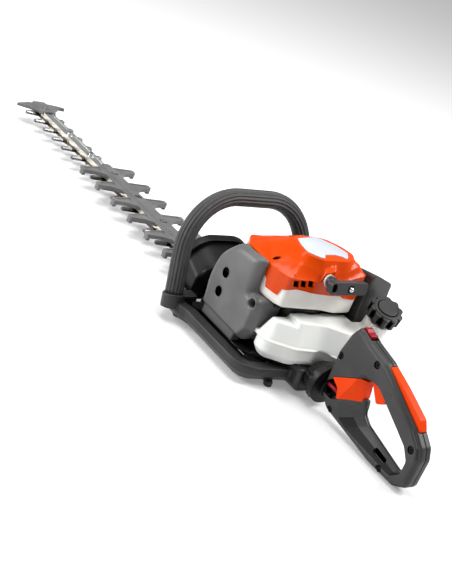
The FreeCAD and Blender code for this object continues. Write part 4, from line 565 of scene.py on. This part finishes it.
# Heights and shares round the cover, by the angle in degrees about its centre.
RIM_HEIGHT = [(-150, 173), (-127, 172), (-112, 171), (-98, 171), (-75, 171), (-58, 172), (-30, 174.5),
              (-12, 175), (12, 176), (30, 181), (48, 187), (90, 187), (130, 186), (150, 177), (180, 174)]
CREASE_SHARE = [(-150, 0.5), (-120, 0.6), (-98, 0.92), (-88, 0.66), (-76, 0.45), (-57, 0.32), (-42, 0.46),
                (-30, 0.8), (-14, 0.6), (10, 0.55), (30, 0.5), (48, 0.45), (90, 0.5), (180, 0.5)]
CREASE_HEIGHT = [(-150, 188), (-120, 184), (-98, 174), (-88, 181), (-76, 186.5), (-57, 190.5), (-42, 187),
                 (-30, 180), (-14, 190), (10, 186), (30, 190), (48, 198.5), (90, 195), (130, 194),
                 (150, 190), (180, 189)]
SKIRT_HEIGHT = [(-150, 150), (-92.5, 150), (-91, 136), (-73, 136), (-71, 148), (-57, 156), (-40, 154.5),
                (0, 152), (20, 152.5), (26, 149), (46, 145), (49, 152), (60, 152), (180, 150)]


def reach_along(plan, angle):
    """How far a ray from the starter's centre runs to the outline."""
    direction = Vector((math.cos(angle), math.sin(angle)))
    best = 0.0
    for i, a in enumerate(plan):
        edge = plan[(i + 1) % len(plan)] - a
        cross = direction.x * edge.y - direction.y * edge.x
        if abs(cross) < 1e-12:
            continue
        offset = a - STARTER_CENTRE
        along = (offset.x * edge.y - offset.y * edge.x) / cross
        share = (offset.x * direction.y - offset.y * direction.x) / cross
        if along > 0 and -1e-6 <= share <= 1 + 1e-6:
            best = max(best, along)
    return best


def plan_point(plan, angle, out_mm, height):
    """A point at a height, out_mm outside the outline."""
    reach = reach_along(plan, angle) + out_mm
    return Vector((STARTER_CENTRE.x + reach * math.cos(angle),
                   STARTER_CENTRE.y + reach * math.sin(angle), height)) * MM


def keyed(table, degrees):
    """A value between (degrees, value) keys that run once round."""
    degrees = (degrees + 180) % 360 - 180
    keys = [(table[-1][0] - 360, table[-1][1])] + table + [(table[0][0] + 360, table[0][1])]
    for (a, low), (b, high) in zip(keys[:-1], keys[1:]):
        if a <= degrees <= b:
            return low + (high - low) * (degrees - a) / (b - a)
    return table[0][1]


def rope_boss_lift(x, y, z):
    """Raises the skin into the boss that runs from the roof down to the rope's eyelet."""
    run = BOSS_END - BOSS_START
    away = Vector((x, y)) - BOSS_START
    share = max(0.0, min(1.0, away.dot(run) / run.length_squared))
    side = (away - run * share).length
    half_width = 17 - 4 * share
    if side >= half_width:
        return z
    crest = 205 - 16 * share ** 1.3
    blend = min(1.0, 1.6 * (1 - (side / half_width) ** 2))
    return z + max(0.0, crest - z) * blend ** 2


def starter_rings(stations):
    """The cover's skin, ring by ring from the roof's edge out to the rim and down the skirt."""
    roof = rounded_plan(ROOF_PLAN)
    plan = rounded_plan(STARTER_PLAN)
    rings = [[] for _ in stations]
    for k in range(STARTER_STEPS):
        degrees = -180 + 360 * k / STARTER_STEPS
        angle = math.radians(degrees)
        inner = reach_along(roof, angle)
        outer = reach_along(plan, angle)
        rim = keyed(RIM_HEIGHT, degrees)
        crease = keyed(CREASE_SHARE, degrees)
        crease_z = keyed(CREASE_HEIGHT, degrees)
        skirt = keyed(SKIRT_HEIGHT, degrees)
        for ring, (facet, share) in zip(rings, stations):
            if facet == "roof":
                reach = inner * share
                z = ROOF_EDGE_Z + ROOF_DOME * (1 - share ** 6)
            elif facet == "upper":
                reach = inner + (outer - inner) * crease * share
                z = ROOF_EDGE_Z + (crease_z - ROOF_EDGE_Z) * share - 1.2 * math.sin(math.pi * share)
            elif facet == "lower":
                reach = inner + (outer - inner) * (crease + (1 - crease) * share)
                z = crease_z + (rim - crease_z) * share - 3.0 * (1 - crease) * math.sin(math.pi * share)
            else:
                reach = outer + 0.4 * share
                z = rim - RIM_ROLL + (skirt - rim + RIM_ROLL) * share
            x = STARTER_CENTRE.x + reach * math.cos(angle)
            y = STARTER_CENTRE.y + reach * math.sin(angle)
            if facet in ("upper", "lower"):
                z = rope_boss_lift(x, y, z)
            ring.append(Vector((x, y, z)) * MM)
    return rings


def box_piece(name, low, high):
    """A plate between two corners in millimetres."""
    x0, y0, z0 = [v * MM for v in low]
    x1, y1, z1 = [v * MM for v in high]
    points = [(x0, y0, z0), (x1, y0, z0), (x1, y1, z0), (x0, y1, z0),
              (x0, y0, z1), (x1, y0, z1), (x1, y1, z1), (x0, y1, z1)]
    faces = [(3, 2, 1, 0), (4, 5, 6, 7), (0, 1, 5, 4), (1, 2, 6, 5), (2, 3, 7, 6), (3, 0, 4, 7)]
    return mesh_object(name, points, faces, smooth=False)


def cut_away(obj, cutters):
    """Cuts the cutters out of a closed mesh."""
    for cutter in cutters:
        hole = obj.modifiers.new("hole", "BOOLEAN")
        hole.operation = "DIFFERENCE"
        hole.solver = "FAST"
        hole.object = cutter
    baked(obj)
    for cutter in cutters:
        bpy.data.objects.remove(cutter)
    return obj


def sharpened(obj, angle=34):
    """Smooth faces, crisp where they meet at more than the angle in degrees."""
    obj.data.shade_smooth()
    obj.data.set_sharp_from_angle(angle=math.radians(angle))
    return obj


def oval(half_long, half_short, turn_deg=0, sides=28):
    """Points round an oval about the origin, turned by turn_deg."""
    turn = math.radians(turn_deg)
    points = []
    for angle in round_angles(sides):
        u = half_long * math.cos(angle)
        v = half_short * math.sin(angle)
        points.append((u * math.cos(turn) - v * math.sin(turn), u * math.sin(turn) + v * math.cos(turn)))
    return points


def starter_cover():
    """The glossy cover: a flat roof, hollow facets, a crisp rim and a skirt with a stepped lower edge."""
    stations = [("roof", s) for s in (0.12, 0.5, 0.8, 0.93, 0.98, 1.0)]
    stations += [("upper", s) for s in (0.06, 0.2, 0.4, 0.6, 0.8, 0.94, 1.0)]
    stations += [("lower", s) for s in (0.06, 0.2, 0.4, 0.6, 0.8, 0.92, 0.985)]
    stations += [("wall", s) for s in (0.0, 0.05, 0.3, 0.6, 0.9, 1.0)]
    rings = starter_rings(stations)
    cover = loft("starter_cover_skin", rings, closed_ends=False)
    mesh = cover.data
    work = bmesh.new()
    work.from_mesh(mesh)
    work.verts.ensure_lookup_table()
    work.faces.new([work.verts[k] for k in range(STARTER_STEPS)])
    bmesh.ops.recalc_face_normals(work, faces=work.faces)
    work.faces.ensure_lookup_table()
    if work.faces[-1].normal.z < 0:
        bmesh.ops.reverse_faces(work, faces=work.faces)
    work.to_mesh(mesh)
    work.free()
    shell = cover.modifiers.new("wall", "SOLIDIFY")
    shell.thickness = COVER_WALL * MM
    shell.offset = -1
    outward(baked(cover))
    vents = []
    for k in range(3):
        y = -63.5 + k * 11
        low = 159 + k * 2
        corners = [(y, low), (y + 8.8, low), (y + 6.4, low + 10.5), (y - 2.4, low + 10.5)]
        vents.append(loft("vent", [[Vector((x, side, up)) * MM for side, up in corners] for x in (30, 62)]))
    front_hole = oval(5.6, 3.0, 52, sides=24)
    vents.append(loft("vent", [[Vector((x - 5.0, y - 68.5, z)) * MM for x, y in front_hole]
                               for z in (166, 200)]))
    rope_hole = oval(EYELET_HOLE_R, EYELET_HOLE_R)
    vents.append(loft("vent", [[(EYELET + PULL * along + SIDE * u + GRIP_UP * v) * MM for u, v in rope_hole]
                               for along in (-20, 20)]))
    cut_away(cover, vents)
    sharpened(cover)
    fit(cover, "machine", ABS_ORANGE, "orange_plastic", "starter_cover")
    # Black plates behind the vents and under the front hole stand in for the shade inside the cover.
    for name, low, high in (("starter_vent_shade_plate", (36, -64, 156), (38, -27, 176)),
                            ("starter_front_shade_plate", (-52, -74, 160), (12, -48, 162))):
        fit(box_piece(name, low, high), "machine", NYLON_BLACK, "black_plastic")


def roof_label():
    """A bare label plate with a cut-out for the rope boss."""
    plan = [(-20.5, -27.5, 3), (-27.5, 14.3, 5), (-21, 22.5, 8), (-2, 36.8, 20), (19, 43.5, 5),
            (30.5, 35.5, 6), (38.5, 27, 3), (31, 22.5, 3), (26, 11.7, 3), (27, -9.5, 3), (37.5, -18, 2),
            (35, -25.5, 4), (20.2, -38.8, 10), (-2.3, -34.6, 30)]
    rings = []
    for grow, z in ((0.0, 204.6), (0.0, 205.55), (-0.35, 205.75)):
        ring = []
        for point in rounded_plan(plan):
            pull = (point - STARTER_CENTRE).normalized() * grow
            ring.append(Vector((point.x + pull.x, point.y + pull.y, z)) * MM)
        rings.append(ring)
    plate = sharpened(loft("starter_label_plate", rings))
    fit(plate, "machine", LABEL_BLANK, "pale_plastic")


def fan_housing():
    """The pale housing under the starter cover, with a rolled lower edge."""
    plan = rounded_plan(STARTER_PLAN)
    profile = [(-2.2, 163), (-0.9, 163), (-0.9, 127), (-1.2, 123.2), (-2.6, 121.2), (-5.0, 120.2),
               (-8.0, 120.2), (-8.0, 123), (-4.4, 126), (-3.6, 160)]
    rings = []
    for out_mm, height in profile:
        ring = []
        for k in range(STARTER_STEPS):
            degrees = -180 + 360 * k / STARTER_STEPS
            if height > 150:
                z = min(height, keyed(SKIRT_HEIGHT, degrees) + 1.5)
            else:
                turn = min(180.0, max(0.0, (degrees + 75) * 1.8))
                z = height + 4.5 * max(0.0, math.sin(math.radians(turn)))
            ring.append(plan_point(plan, math.radians(degrees), out_mm, z))
        rings.append(ring)
    housing = sharpened(loft("fan_housing_casting", rings, closed_ends=False, loop_rings=True), 50)
    fit(housing, "machine", POLYAMIDE_PALE, "pale_plastic", "fan_housing")
    floor = [[plan_point(plan, angle, -7.5, z) for angle in round_angles(84)] for z in (120.6, 123.0)]
    fit(sharpened(loft("fan_housing_floor", floor)), "machine", NYLON_BLACK, "black_plastic")


# ---------------------------------------------------------------- rope and pull grip
GRIP_START = EYELET + PULL * 12
ROPE_R = 1.6
KNOB_Y = 28
KNOB_DROP = 6
KNOB_RECESS_R = 6.4


def pull_rope():
    """The rope from inside the eyelet to the grip, as a fixed straight length."""
    start = EYELET - PULL * 6
    end = GRIP_START + PULL * 3
    rings = []
    for step in range(25):
        middle = start + (end - start) * step / 24
        rings.append([(middle + (SIDE * math.cos(angle) + GRIP_UP * math.sin(angle)) * ROPE_R) * MM
                      for angle in round_angles(20)])
    rope = paint(loft("recoil_rope_braid", rings), ROPE)
    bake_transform(rope)
    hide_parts("recoil_rope")


def pull_grip():
    """The grip, with a hollow at its left end and a round recess for the knob, both painted near black as
    shade.
    """
    grip = moulded_copy("recoil_handle", 0.6, 6)
    fit(grip, "pull_grip", NYLON_HANDLE, "handle_plastic", "recoil_handle")

    def sunk(centre, normal):
        away = centre - GRIP_START
        down = -away.dot(GRIP_UP)
        if not 4.4 < away.dot(PULL) < 11.3:
            return False
        hollow = -10.8 < away.y < -0.8 and -2.8 < down < 11.8
        return hollow or math.hypot(away.y - KNOB_Y, down - KNOB_DROP) < KNOB_RECESS_R

    # The hollow and the knob's recess are painted near black as shade.
    recoloured(grip, (NYLON_RECESS, sunk))


# ---------------------------------------------------------------- muffler cover
def eased(value):
    """0 to 1 for values from 0 to 1, with soft ends."""
    value = max(0.0, min(1.0, value))
    return value * value * (3 - 2 * value)


COVER_VENTS = [(-67, 119), (-67, 84)]
COVER_SCREW = (12, 111)


def in_cover_recess(centre, normal):
    """The screw's pocket and the vents' walls, which are painted near black as shade."""
    if -84 < centre.y < -60 and math.hypot(centre.x - COVER_SCREW[0], centre.z - COVER_SCREW[1]) < 8:
        return True
    beside_vent = any(abs(centre.x - x) < 3.3 and abs(centre.z - z) < 6.5 for x, z in COVER_VENTS)
    return beside_vent and abs(normal.y) < 0.4


def muffler_cover():
    """The cover, rolled over broadly at its front and top, with crisp vents."""
    cover = moulded_copy("muffler_cover", 1.5, 5)
    broad = cover.vertex_groups.new(name="broad_roll")
    for vertex in cover.data.vertices:
        place = vertex.co / MM
        weight = eased((-place.x + 4) / 26) * eased((place.z - 54) / 22) * eased((-place.y - 42) / 12)
        broad.add([vertex.index], weight, "REPLACE")
    roll = cover.modifiers.new("roll", "SMOOTH")
    roll.factor = 0.8
    roll.iterations = 220
    roll.vertex_group = broad.name
    baked(cover)
    cutters = []
    for x, z in COVER_VENTS:
        cutters.append(loft("vent", [[Vector((x + u, y, z + v)) * MM for u, v in oval(1.6, 4.5)]
                                     for y in (-96, -66)]))
    cut_away(cover, cutters)
    sharpened(cover, 60)
    fit(cover, "machine", POLYAMIDE_COVER, "cover_plastic", "muffler_cover")
    # The screw's pocket and the vents' walls are painted near black as shade.
    recoloured(cover, (NYLON_RECESS, in_cover_recess))


# ---------------------------------------------------------------- fuel cap
CAP_CENTRE = Vector((95, 90, 147))
CAP_AXIS = Vector((0.30, -0.14, 0.94)).normalized()
CAP_HEIGHT = 22.0
CAP_RADIUS = 24.0
CAP_LOBES = 10
CAP_RIM = 3.5


def fuel_cap():
    """The screw cap; the window between each pair of finger ribs and a thin ring on its top are painted near
    black as shade.
    """
    cap = moulded_copy("fuel_cap", 0.6, 4)
    fit(cap, "fuel_cap", NYLON_HANDLE, "handle_plastic", "fuel_cap")
    base = CAP_CENTRE - CAP_AXIS * (CAP_HEIGHT / 2)
    upright = CAP_AXIS.rotation_difference(Vector((0, 0, 1)))

    def in_window(centre, normal):
        spot = upright @ (centre - base)
        reach = math.hypot(spot.x, spot.y)
        if abs(reach - CAP_RADIUS * 0.69) < 0.9 and spot.z > CAP_HEIGHT - 2:
            return True
        turn = (math.atan2(spot.y, spot.x) / (math.tau / CAP_LOBES)) % 1.0
        between_rims = CAP_RIM < spot.z < CAP_HEIGHT - CAP_RIM
        return abs(turn - 0.5) < 0.27 and between_rims and reach > CAP_RADIUS * 0.6

    # The windows and the ring on top are painted near black as shade.
    recoloured(cap, (NYLON_RECESS, in_window))


# ---------------------------------------------------------------- rear handle
# Outlines are (x, z) from the handle's front end, with a corner radius where there is a third value.
HANDLE_FRONT = 128.4
HANDLE_HALF = 16.0
HANDLE_CROWN_R = 9.0
HANDLE_OUTLINE = [(0, 34, 12), (0, 104, 20), (8, 138, 20), (20, 158, 7), (48, 149, 20), (88, 141, 30),
                  (180, 96, 20), (202, 79, 12), (209, 62, 10), (208, 16, 12), (184, 2, 16), (128, 2, 30),
                  (22, 16, 14)]
OPENING_MOUTH = [(60, 106), (96, 107), (177, 66), (191, 50), (191, 28), (176, 13), (70, 17), (52, 21),
                 (40, 48)]
CREST_HALF = 4
MOUTH_DEPTH = 12
SHELL_SCREWS = [(10, 102), (77, 131), (33, 22), (190, 69), (156, 9)]
SCREW_POCKET_R = 5.9
SWITCH_X = 30
SEAM_HALF = 0.65
LATCH_WINDOW = [(4, 38), (5, 60), (17, 67), (27, 60), (31, 45), (20, 35)]
LATCH_EDGE = (35, 43)
LATCH_SLOPE = 0.6245
BULGE = 5
BULGE_Z = 70
SLOT_MIDDLE = (144, 23.3)
SLOT_HALF = 9.4
SLOT_R = 3.8
PIN_Y = -10.6
PIN_Z = 51


def within(outline, x, z):
    """Whether a point lies inside a polygon."""
    inside = False
    for i, (ax, az) in enumerate(outline):
        bx, bz = outline[i - 1]
        if (az > z) != (bz > z) and x < ax + (z - az) * (bx - ax) / (bz - az):
            inside = not inside
    return inside


def in_shaded_recess_or_seam(centre, normal):
    """Painted shade in the screw recesses, the window beside the latch and round the switch, and the dark
    joint of the two shells.
    """
    x = centre.x - HANDLE_FRONT
    out = abs(centre.y)
    if out > 5 and any(math.hypot(x - sx, centre.z - sz) < SCREW_POCKET_R for sx, sz in SHELL_SCREWS):
        return True
    if abs(x - SWITCH_X) < 14.5 and out < 8.6 and centre.z > 140:
        return True
    return out < SEAM_HALF or (out < 15.5 and within(LATCH_WINDOW, x, centre.z))


def in_hand_opening(centre, normal):
    """The hollow between the rim and the crest of the lower bar and the rear end, painted dark as shade."""
    x = centre.x - HANDLE_FRONT
    if not 8.6 < abs(centre.y) < 15.4 or not within(OPENING_MOUTH, x, centre.z):
        return False
    return centre.z < min(50, 24 + 0.72 * (x - 54))


def bulge(x, z):
    """How far the bar beside the latch is filled out toward the palm."""
    return BULGE * eased((x - 42) / 25) * math.exp(-((z - BULGE_Z) / 15) ** 2)


def bulged(obj):
    """The piece filled out there; it fades out before the trigger."""
    for vertex in obj.data.vertices:
        x = vertex.co.x / MM - HANDLE_FRONT
        vertex.co.x += bulge(x, vertex.co.z / MM) * (1 - eased((x - 88) / 10)) * MM
    obj.data.update()
    return obj


def palm_web():
    """The web of the bar right below the latch, over the lock pin's way."""
    rings = []
    for y in (-15, -13, -11, -9, -7, -5, -4, 0, 4, 5, 7, 9, 11, 13, 15):
        depth = max(0, (abs(y) - CREST_HALF) / MOUTH_DEPTH)
        front, back = [], []
        for step in range(6):
            z = 60.0
            for _ in range(6):
                crest = 74 + (70 - z) * 0.5
                x = crest + (40 + (48 - z) * 0.444 - crest) * depth
                x += bulge(x, z)
                z = LATCH_EDGE[1] + (x - LATCH_EDGE[0]) * LATCH_SLOPE - 0.8 - 2.6 * step
            x += HANDLE_FRONT - 0.4 - min(1.1, depth * 9)
            front.append(Vector((x, y, z)) * MM)
            back.append(Vector((x - 4, y, z)) * MM)
        rings.append(front + back[::-1])
    fit(loft("rear_handle_web", rings), "rear_handle", NYLON_HANDLE, "handle_plastic")


def palm_slot():
    """A cutter for the slot in the lower bar, which falls slightly to the rear."""
    rings = []
    for y in (-16.5, -5):
        ring = []
        for angle in round_angles(28):
            along = math.copysign(SLOT_HALF, math.cos(angle)) + SLOT_R * math.cos(angle)
            z = SLOT_MIDDLE[1] - 0.12 * along + SLOT_R * math.sin(angle)
            ring.append(Vector((HANDLE_FRONT + SLOT_MIDDLE[0] + along, y, z)) * MM)
        rings.append(ring)
    return loft("palm_slot", rings)


def rear_handle():
    """The two shells with rolled flanks; the left one has the slot in its lower bar."""
    outline = [(HANDLE_FRONT + x, z, radius) for x, z, radius in HANDLE_OUTLINE]
    for side in ("left", "right"):
        shell = moulded_copy("rear_handle_" + side, 0.8, 10)
        crowned(shell, outline, HANDLE_HALF, HANDLE_CROWN_R)
        soften = shell.modifiers.new("soften", "SMOOTH")
        soften.iterations = 4
        bulged(baked(shell))
        if side == "left":
            cut_away(shell, [palm_slot()])
        fit(shell, "rear_handle", NYLON_HANDLE, "handle_plastic", "rear_handle_" + side)
        # The hand opening and the recesses are painted dark as shade; the seam between the shells is a dark
        # joint.
        recoloured(shell, (NYLON_OPENING_SHADE, in_hand_opening), (NYLON_RECESS, in_shaded_recess_or_seam))


def latch():
    """The orange latch band, and the red lock pin beside it."""
    band = bulged(moulded_copy("handle_latch", 0.6, 5))
    window = [(0, 36), (12.6, 67), (29, 58), (34.6, 42.5), (20, 30)]
    cut_away(band, [loft("trim", [[Vector((HANDLE_FRONT + x, y, z)) * MM for x, z in window]
                                  for y in (-40, 40)])])
    sharpened(band, 50)
    fit(band, "latch", ABS_TRIGGER, "orange_plastic", "handle_latch")
    rings = []
    for along, radius in ((7, 1.8), (7.4, 2.6), (8.4, 3.0), (30, 3.0), (30.6, 2.6), (31, 1.8)):
        rings.append([Vector((HANDLE_FRONT + along, PIN_Y + radius * math.cos(angle),
                              PIN_Z + radius * math.sin(angle))) * MM for angle in round_angles(24)])
    pin = sharpened(loft("handle_latch_pin", rings))
    fit(pin, "latch", ABS_RED, "red_plastic")
    # The pin's length inside the window beside the latch is painted near black as shade.
    recoloured(pin, (NYLON_RECESS, lambda centre, normal: centre.x < HANDLE_FRONT + 19))


# ---------------------------------------------------------------- carried-over CAD nodes
def paint_nodes():
    """The nodes that keep their CAD shape and take only a material."""
    plain = {
        BLADE_STEEL: "upper_blade lower_blade",
        BAR_STEEL: "guide_bar",
        SCREW_STEEL: "blade_bolts gearbox_screws",
        SCREW_BLACK: "cover_screws rear_handle_screws",
        GEARBOX_CASTING: "gearbox_housing gearbox_cover",
        CAST_ALUMINIUM: "crankcase cylinder flywheel carburettor piston",
        GEAR_STEEL: "drive_gear upper_strap lower_strap crankshaft connecting_rod gearbox_bearings "
                    "crank_bearings clutch_drum clutch_shoe_front clutch_shoe_rear recoil_spring",
        MUFFLER_STEEL: "muffler",
        BRASS: "throttle_valve",
        CERAMIC: "spark_plug",
        NYLON_BLACK: "starter_pulley ignition_module",
        ROPE: "rope_winding",
        CHROME: "recoil_knob",
        FELT: "air_filter",
        PAINTED_TUBE: "front_handle_tube",
        BLACK_RUBBER: "antivibration_mounts spark_plug_boot",
        BULB_RUBBER: "primer_bulb",
        NYLON_HANDLE: "choke_lever",
        EYELET_PLASTIC: "rope_eyelet",
    }
    for material, names in plain.items():
        for name in names.split():
            paint(nodes[name], material)


def mouldings():
    """The moulded pieces that keep their CAD shape and gain soft edges."""
    soft = [("throttle_trigger", 0.6, 6, ABS_TRIGGER, "orange_plastic", "trigger"),
            ("throttle_lockout", 0.6, 6, ABS_TRIGGER, "orange_plastic", "lockout"),
            ("stop_switch", 0.4, 4, ABS_RED, "red_plastic", "stop_switch"),
            ("fuel_tank", 1.2, 6, TANK_PLASTIC, "tank_plastic", "machine"),
            ("chassis", 1.5, 10, NYLON_FRAME, "black_plastic", "machine"),
            ("air_filter_cover", 1.2, 12, POLYAMIDE_FILTER, "handle_plastic", "machine"),
            ("blade_guard", 0.8, 3, NYLON_GUARD, "black_plastic", "machine"),
            ("tip_guard", 0.8, 6, NYLON_GUARD, "black_plastic", "machine"),
            ("hand_shield", 1.8, 16, NYLON_BLACK, "black_plastic", "machine"),
            ("swivel_housing", 0.9, 5, NYLON_BLACK, "black_plastic", "machine"),
            ("engine_tray", 1.3, 4, NYLON_PAN, "black_plastic", "machine")]
    for node, voxel, passes, material, slot, body in soft:
        fit(moulded_copy(node, voxel, passes), body, material, slot, node)


# ---------------------------------------------------------------- stage
def seen_directly(tree):
    """1 for rays from the camera and for those mirrored by metal or passed by clear plastic."""
    path = add_node(tree, "LightPath")
    seen = path.outputs["Is Camera Ray"]
    for ray in ("Is Glossy Ray", "Is Transmission Ray"):
        seen = add_node(tree, "Math", [(0, seen), (1, path.outputs[ray])], operation="MAXIMUM").outputs[0]
    return seen


FLOOR_GLOW = 0.22


def floor_material():
    """A matt pale floor that keeps the object's shadow and is lifted toward white in direct view."""
    material, tree, shader, output, place = new_material("studio_floor_matt_paint")
    speck = noise(tree, place, 4, 3.0)
    tree.links.new(two_tone(tree, speck, 0.3, "#dadada", 0.7, "#e0e0e0"), shader.inputs["Base Color"])
    shader.inputs["Roughness"].default_value = 0.9
    shader.inputs["Specular IOR Level"].default_value = 0.1
    glow = add_node(tree, "Emission", Color=WHITE, Strength=FLOOR_GLOW)
    lifted = add_node(tree, "AddShader", [(0, shader.outputs["BSDF"]), (1, glow.outputs["Emission"])])
    mix = add_node(tree, "MixShader", [("Fac", seen_directly(tree)), (1, shader.outputs["BSDF"]),
                                       (2, lifted.outputs["Shader"])])
    tree.links.new(mix.outputs["Shader"], output.inputs["Surface"])
    return material


FLOOR_HALF = 20
LAMP_TARGET = Vector((-0.1, 0, 0.1))
# Place, size in metres and power in watts.
SOFTBOXES = {
    "key_softbox": ((0.9, 1.7, 2.2), 1.3, 82),
    "left_softbox": ((-1.5, -2.0, 1.1), 1.1, 56),
    "top_softbox": ((-0.5, -0.4, 2.5), 1.6, 50),
}


def studio():
    """The floor, an even grey sky and three soft lamps."""
    corners = [(x * FLOOR_HALF, y * FLOOR_HALF, 0) for x, y in ((-1, -1), (1, -1), (1, 1), (-1, 1))]
    floor = mesh_object("studio_floor", corners, [(0, 1, 2, 3)], smooth=False)
    paint(floor, floor_material())
    world = bpy.data.worlds.new("studio")
    bpy.context.scene.world = world
    world.use_nodes = True
    sky = world.node_tree.nodes["Background"]
    sky.inputs["Color"].default_value = WHITE
    sky.inputs["Strength"].default_value = 0.27
    for name, (place, size, watts) in SOFTBOXES.items():
        light = bpy.data.lights.new(name, "AREA")
        light.size = size
        light.energy = watts
        lamp = link(bpy.data.objects.new(name, light))
        lamp.location = place
        lamp.rotation_euler = (LAMP_TARGET - Vector(place)).to_track_quat("-Z", "Y").to_euler()


CAMERA_PLACE = (1.1448, -1.2465, 0.8239)
CAMERA_AZIMUTH = 46.07
CAMERA_HEIGHT = 23.81
CAMERA_ROLL = 21.96
CAMERA_LENS = 73.97


def camera():
    """A long lens behind and to the left of the machine, looking down at it with the horizon tilted."""
    azimuth = math.radians(CAMERA_AZIMUTH)
    height = math.radians(CAMERA_HEIGHT)
    roll = math.radians(CAMERA_ROLL)
    level = math.cos(height)
    back = Vector((math.sin(azimuth) * level, -math.cos(azimuth) * level, math.sin(height)))
    right = (-back).cross(Vector((0, 0, 1))).normalized()
    up = right.cross(-back)
    across = right * math.cos(roll) + up * math.sin(roll)
    top = up * math.cos(roll) - right * math.sin(roll)
    data = bpy.data.cameras.new("camera")
    data.lens = CAMERA_LENS
    data.sensor_width = 36
    data.clip_start = 0.05
    view = link(bpy.data.objects.new("camera", data))
    turned = Matrix((across, top, back)).transposed().to_4x4()
    view.matrix_world = Matrix.Translation(CAMERA_PLACE) @ turned
    bpy.context.scene.camera = view


camera()
studio()
paint_nodes()
mouldings()
front_grip()
pull_rope()
pull_grip()
rear_handle()
palm_web()
latch()
muffler_cover()
fuel_cap()
starter_cover()
roof_label()
fan_housing()
bpy.context.scene.view_settings.view_transform = "Standard"
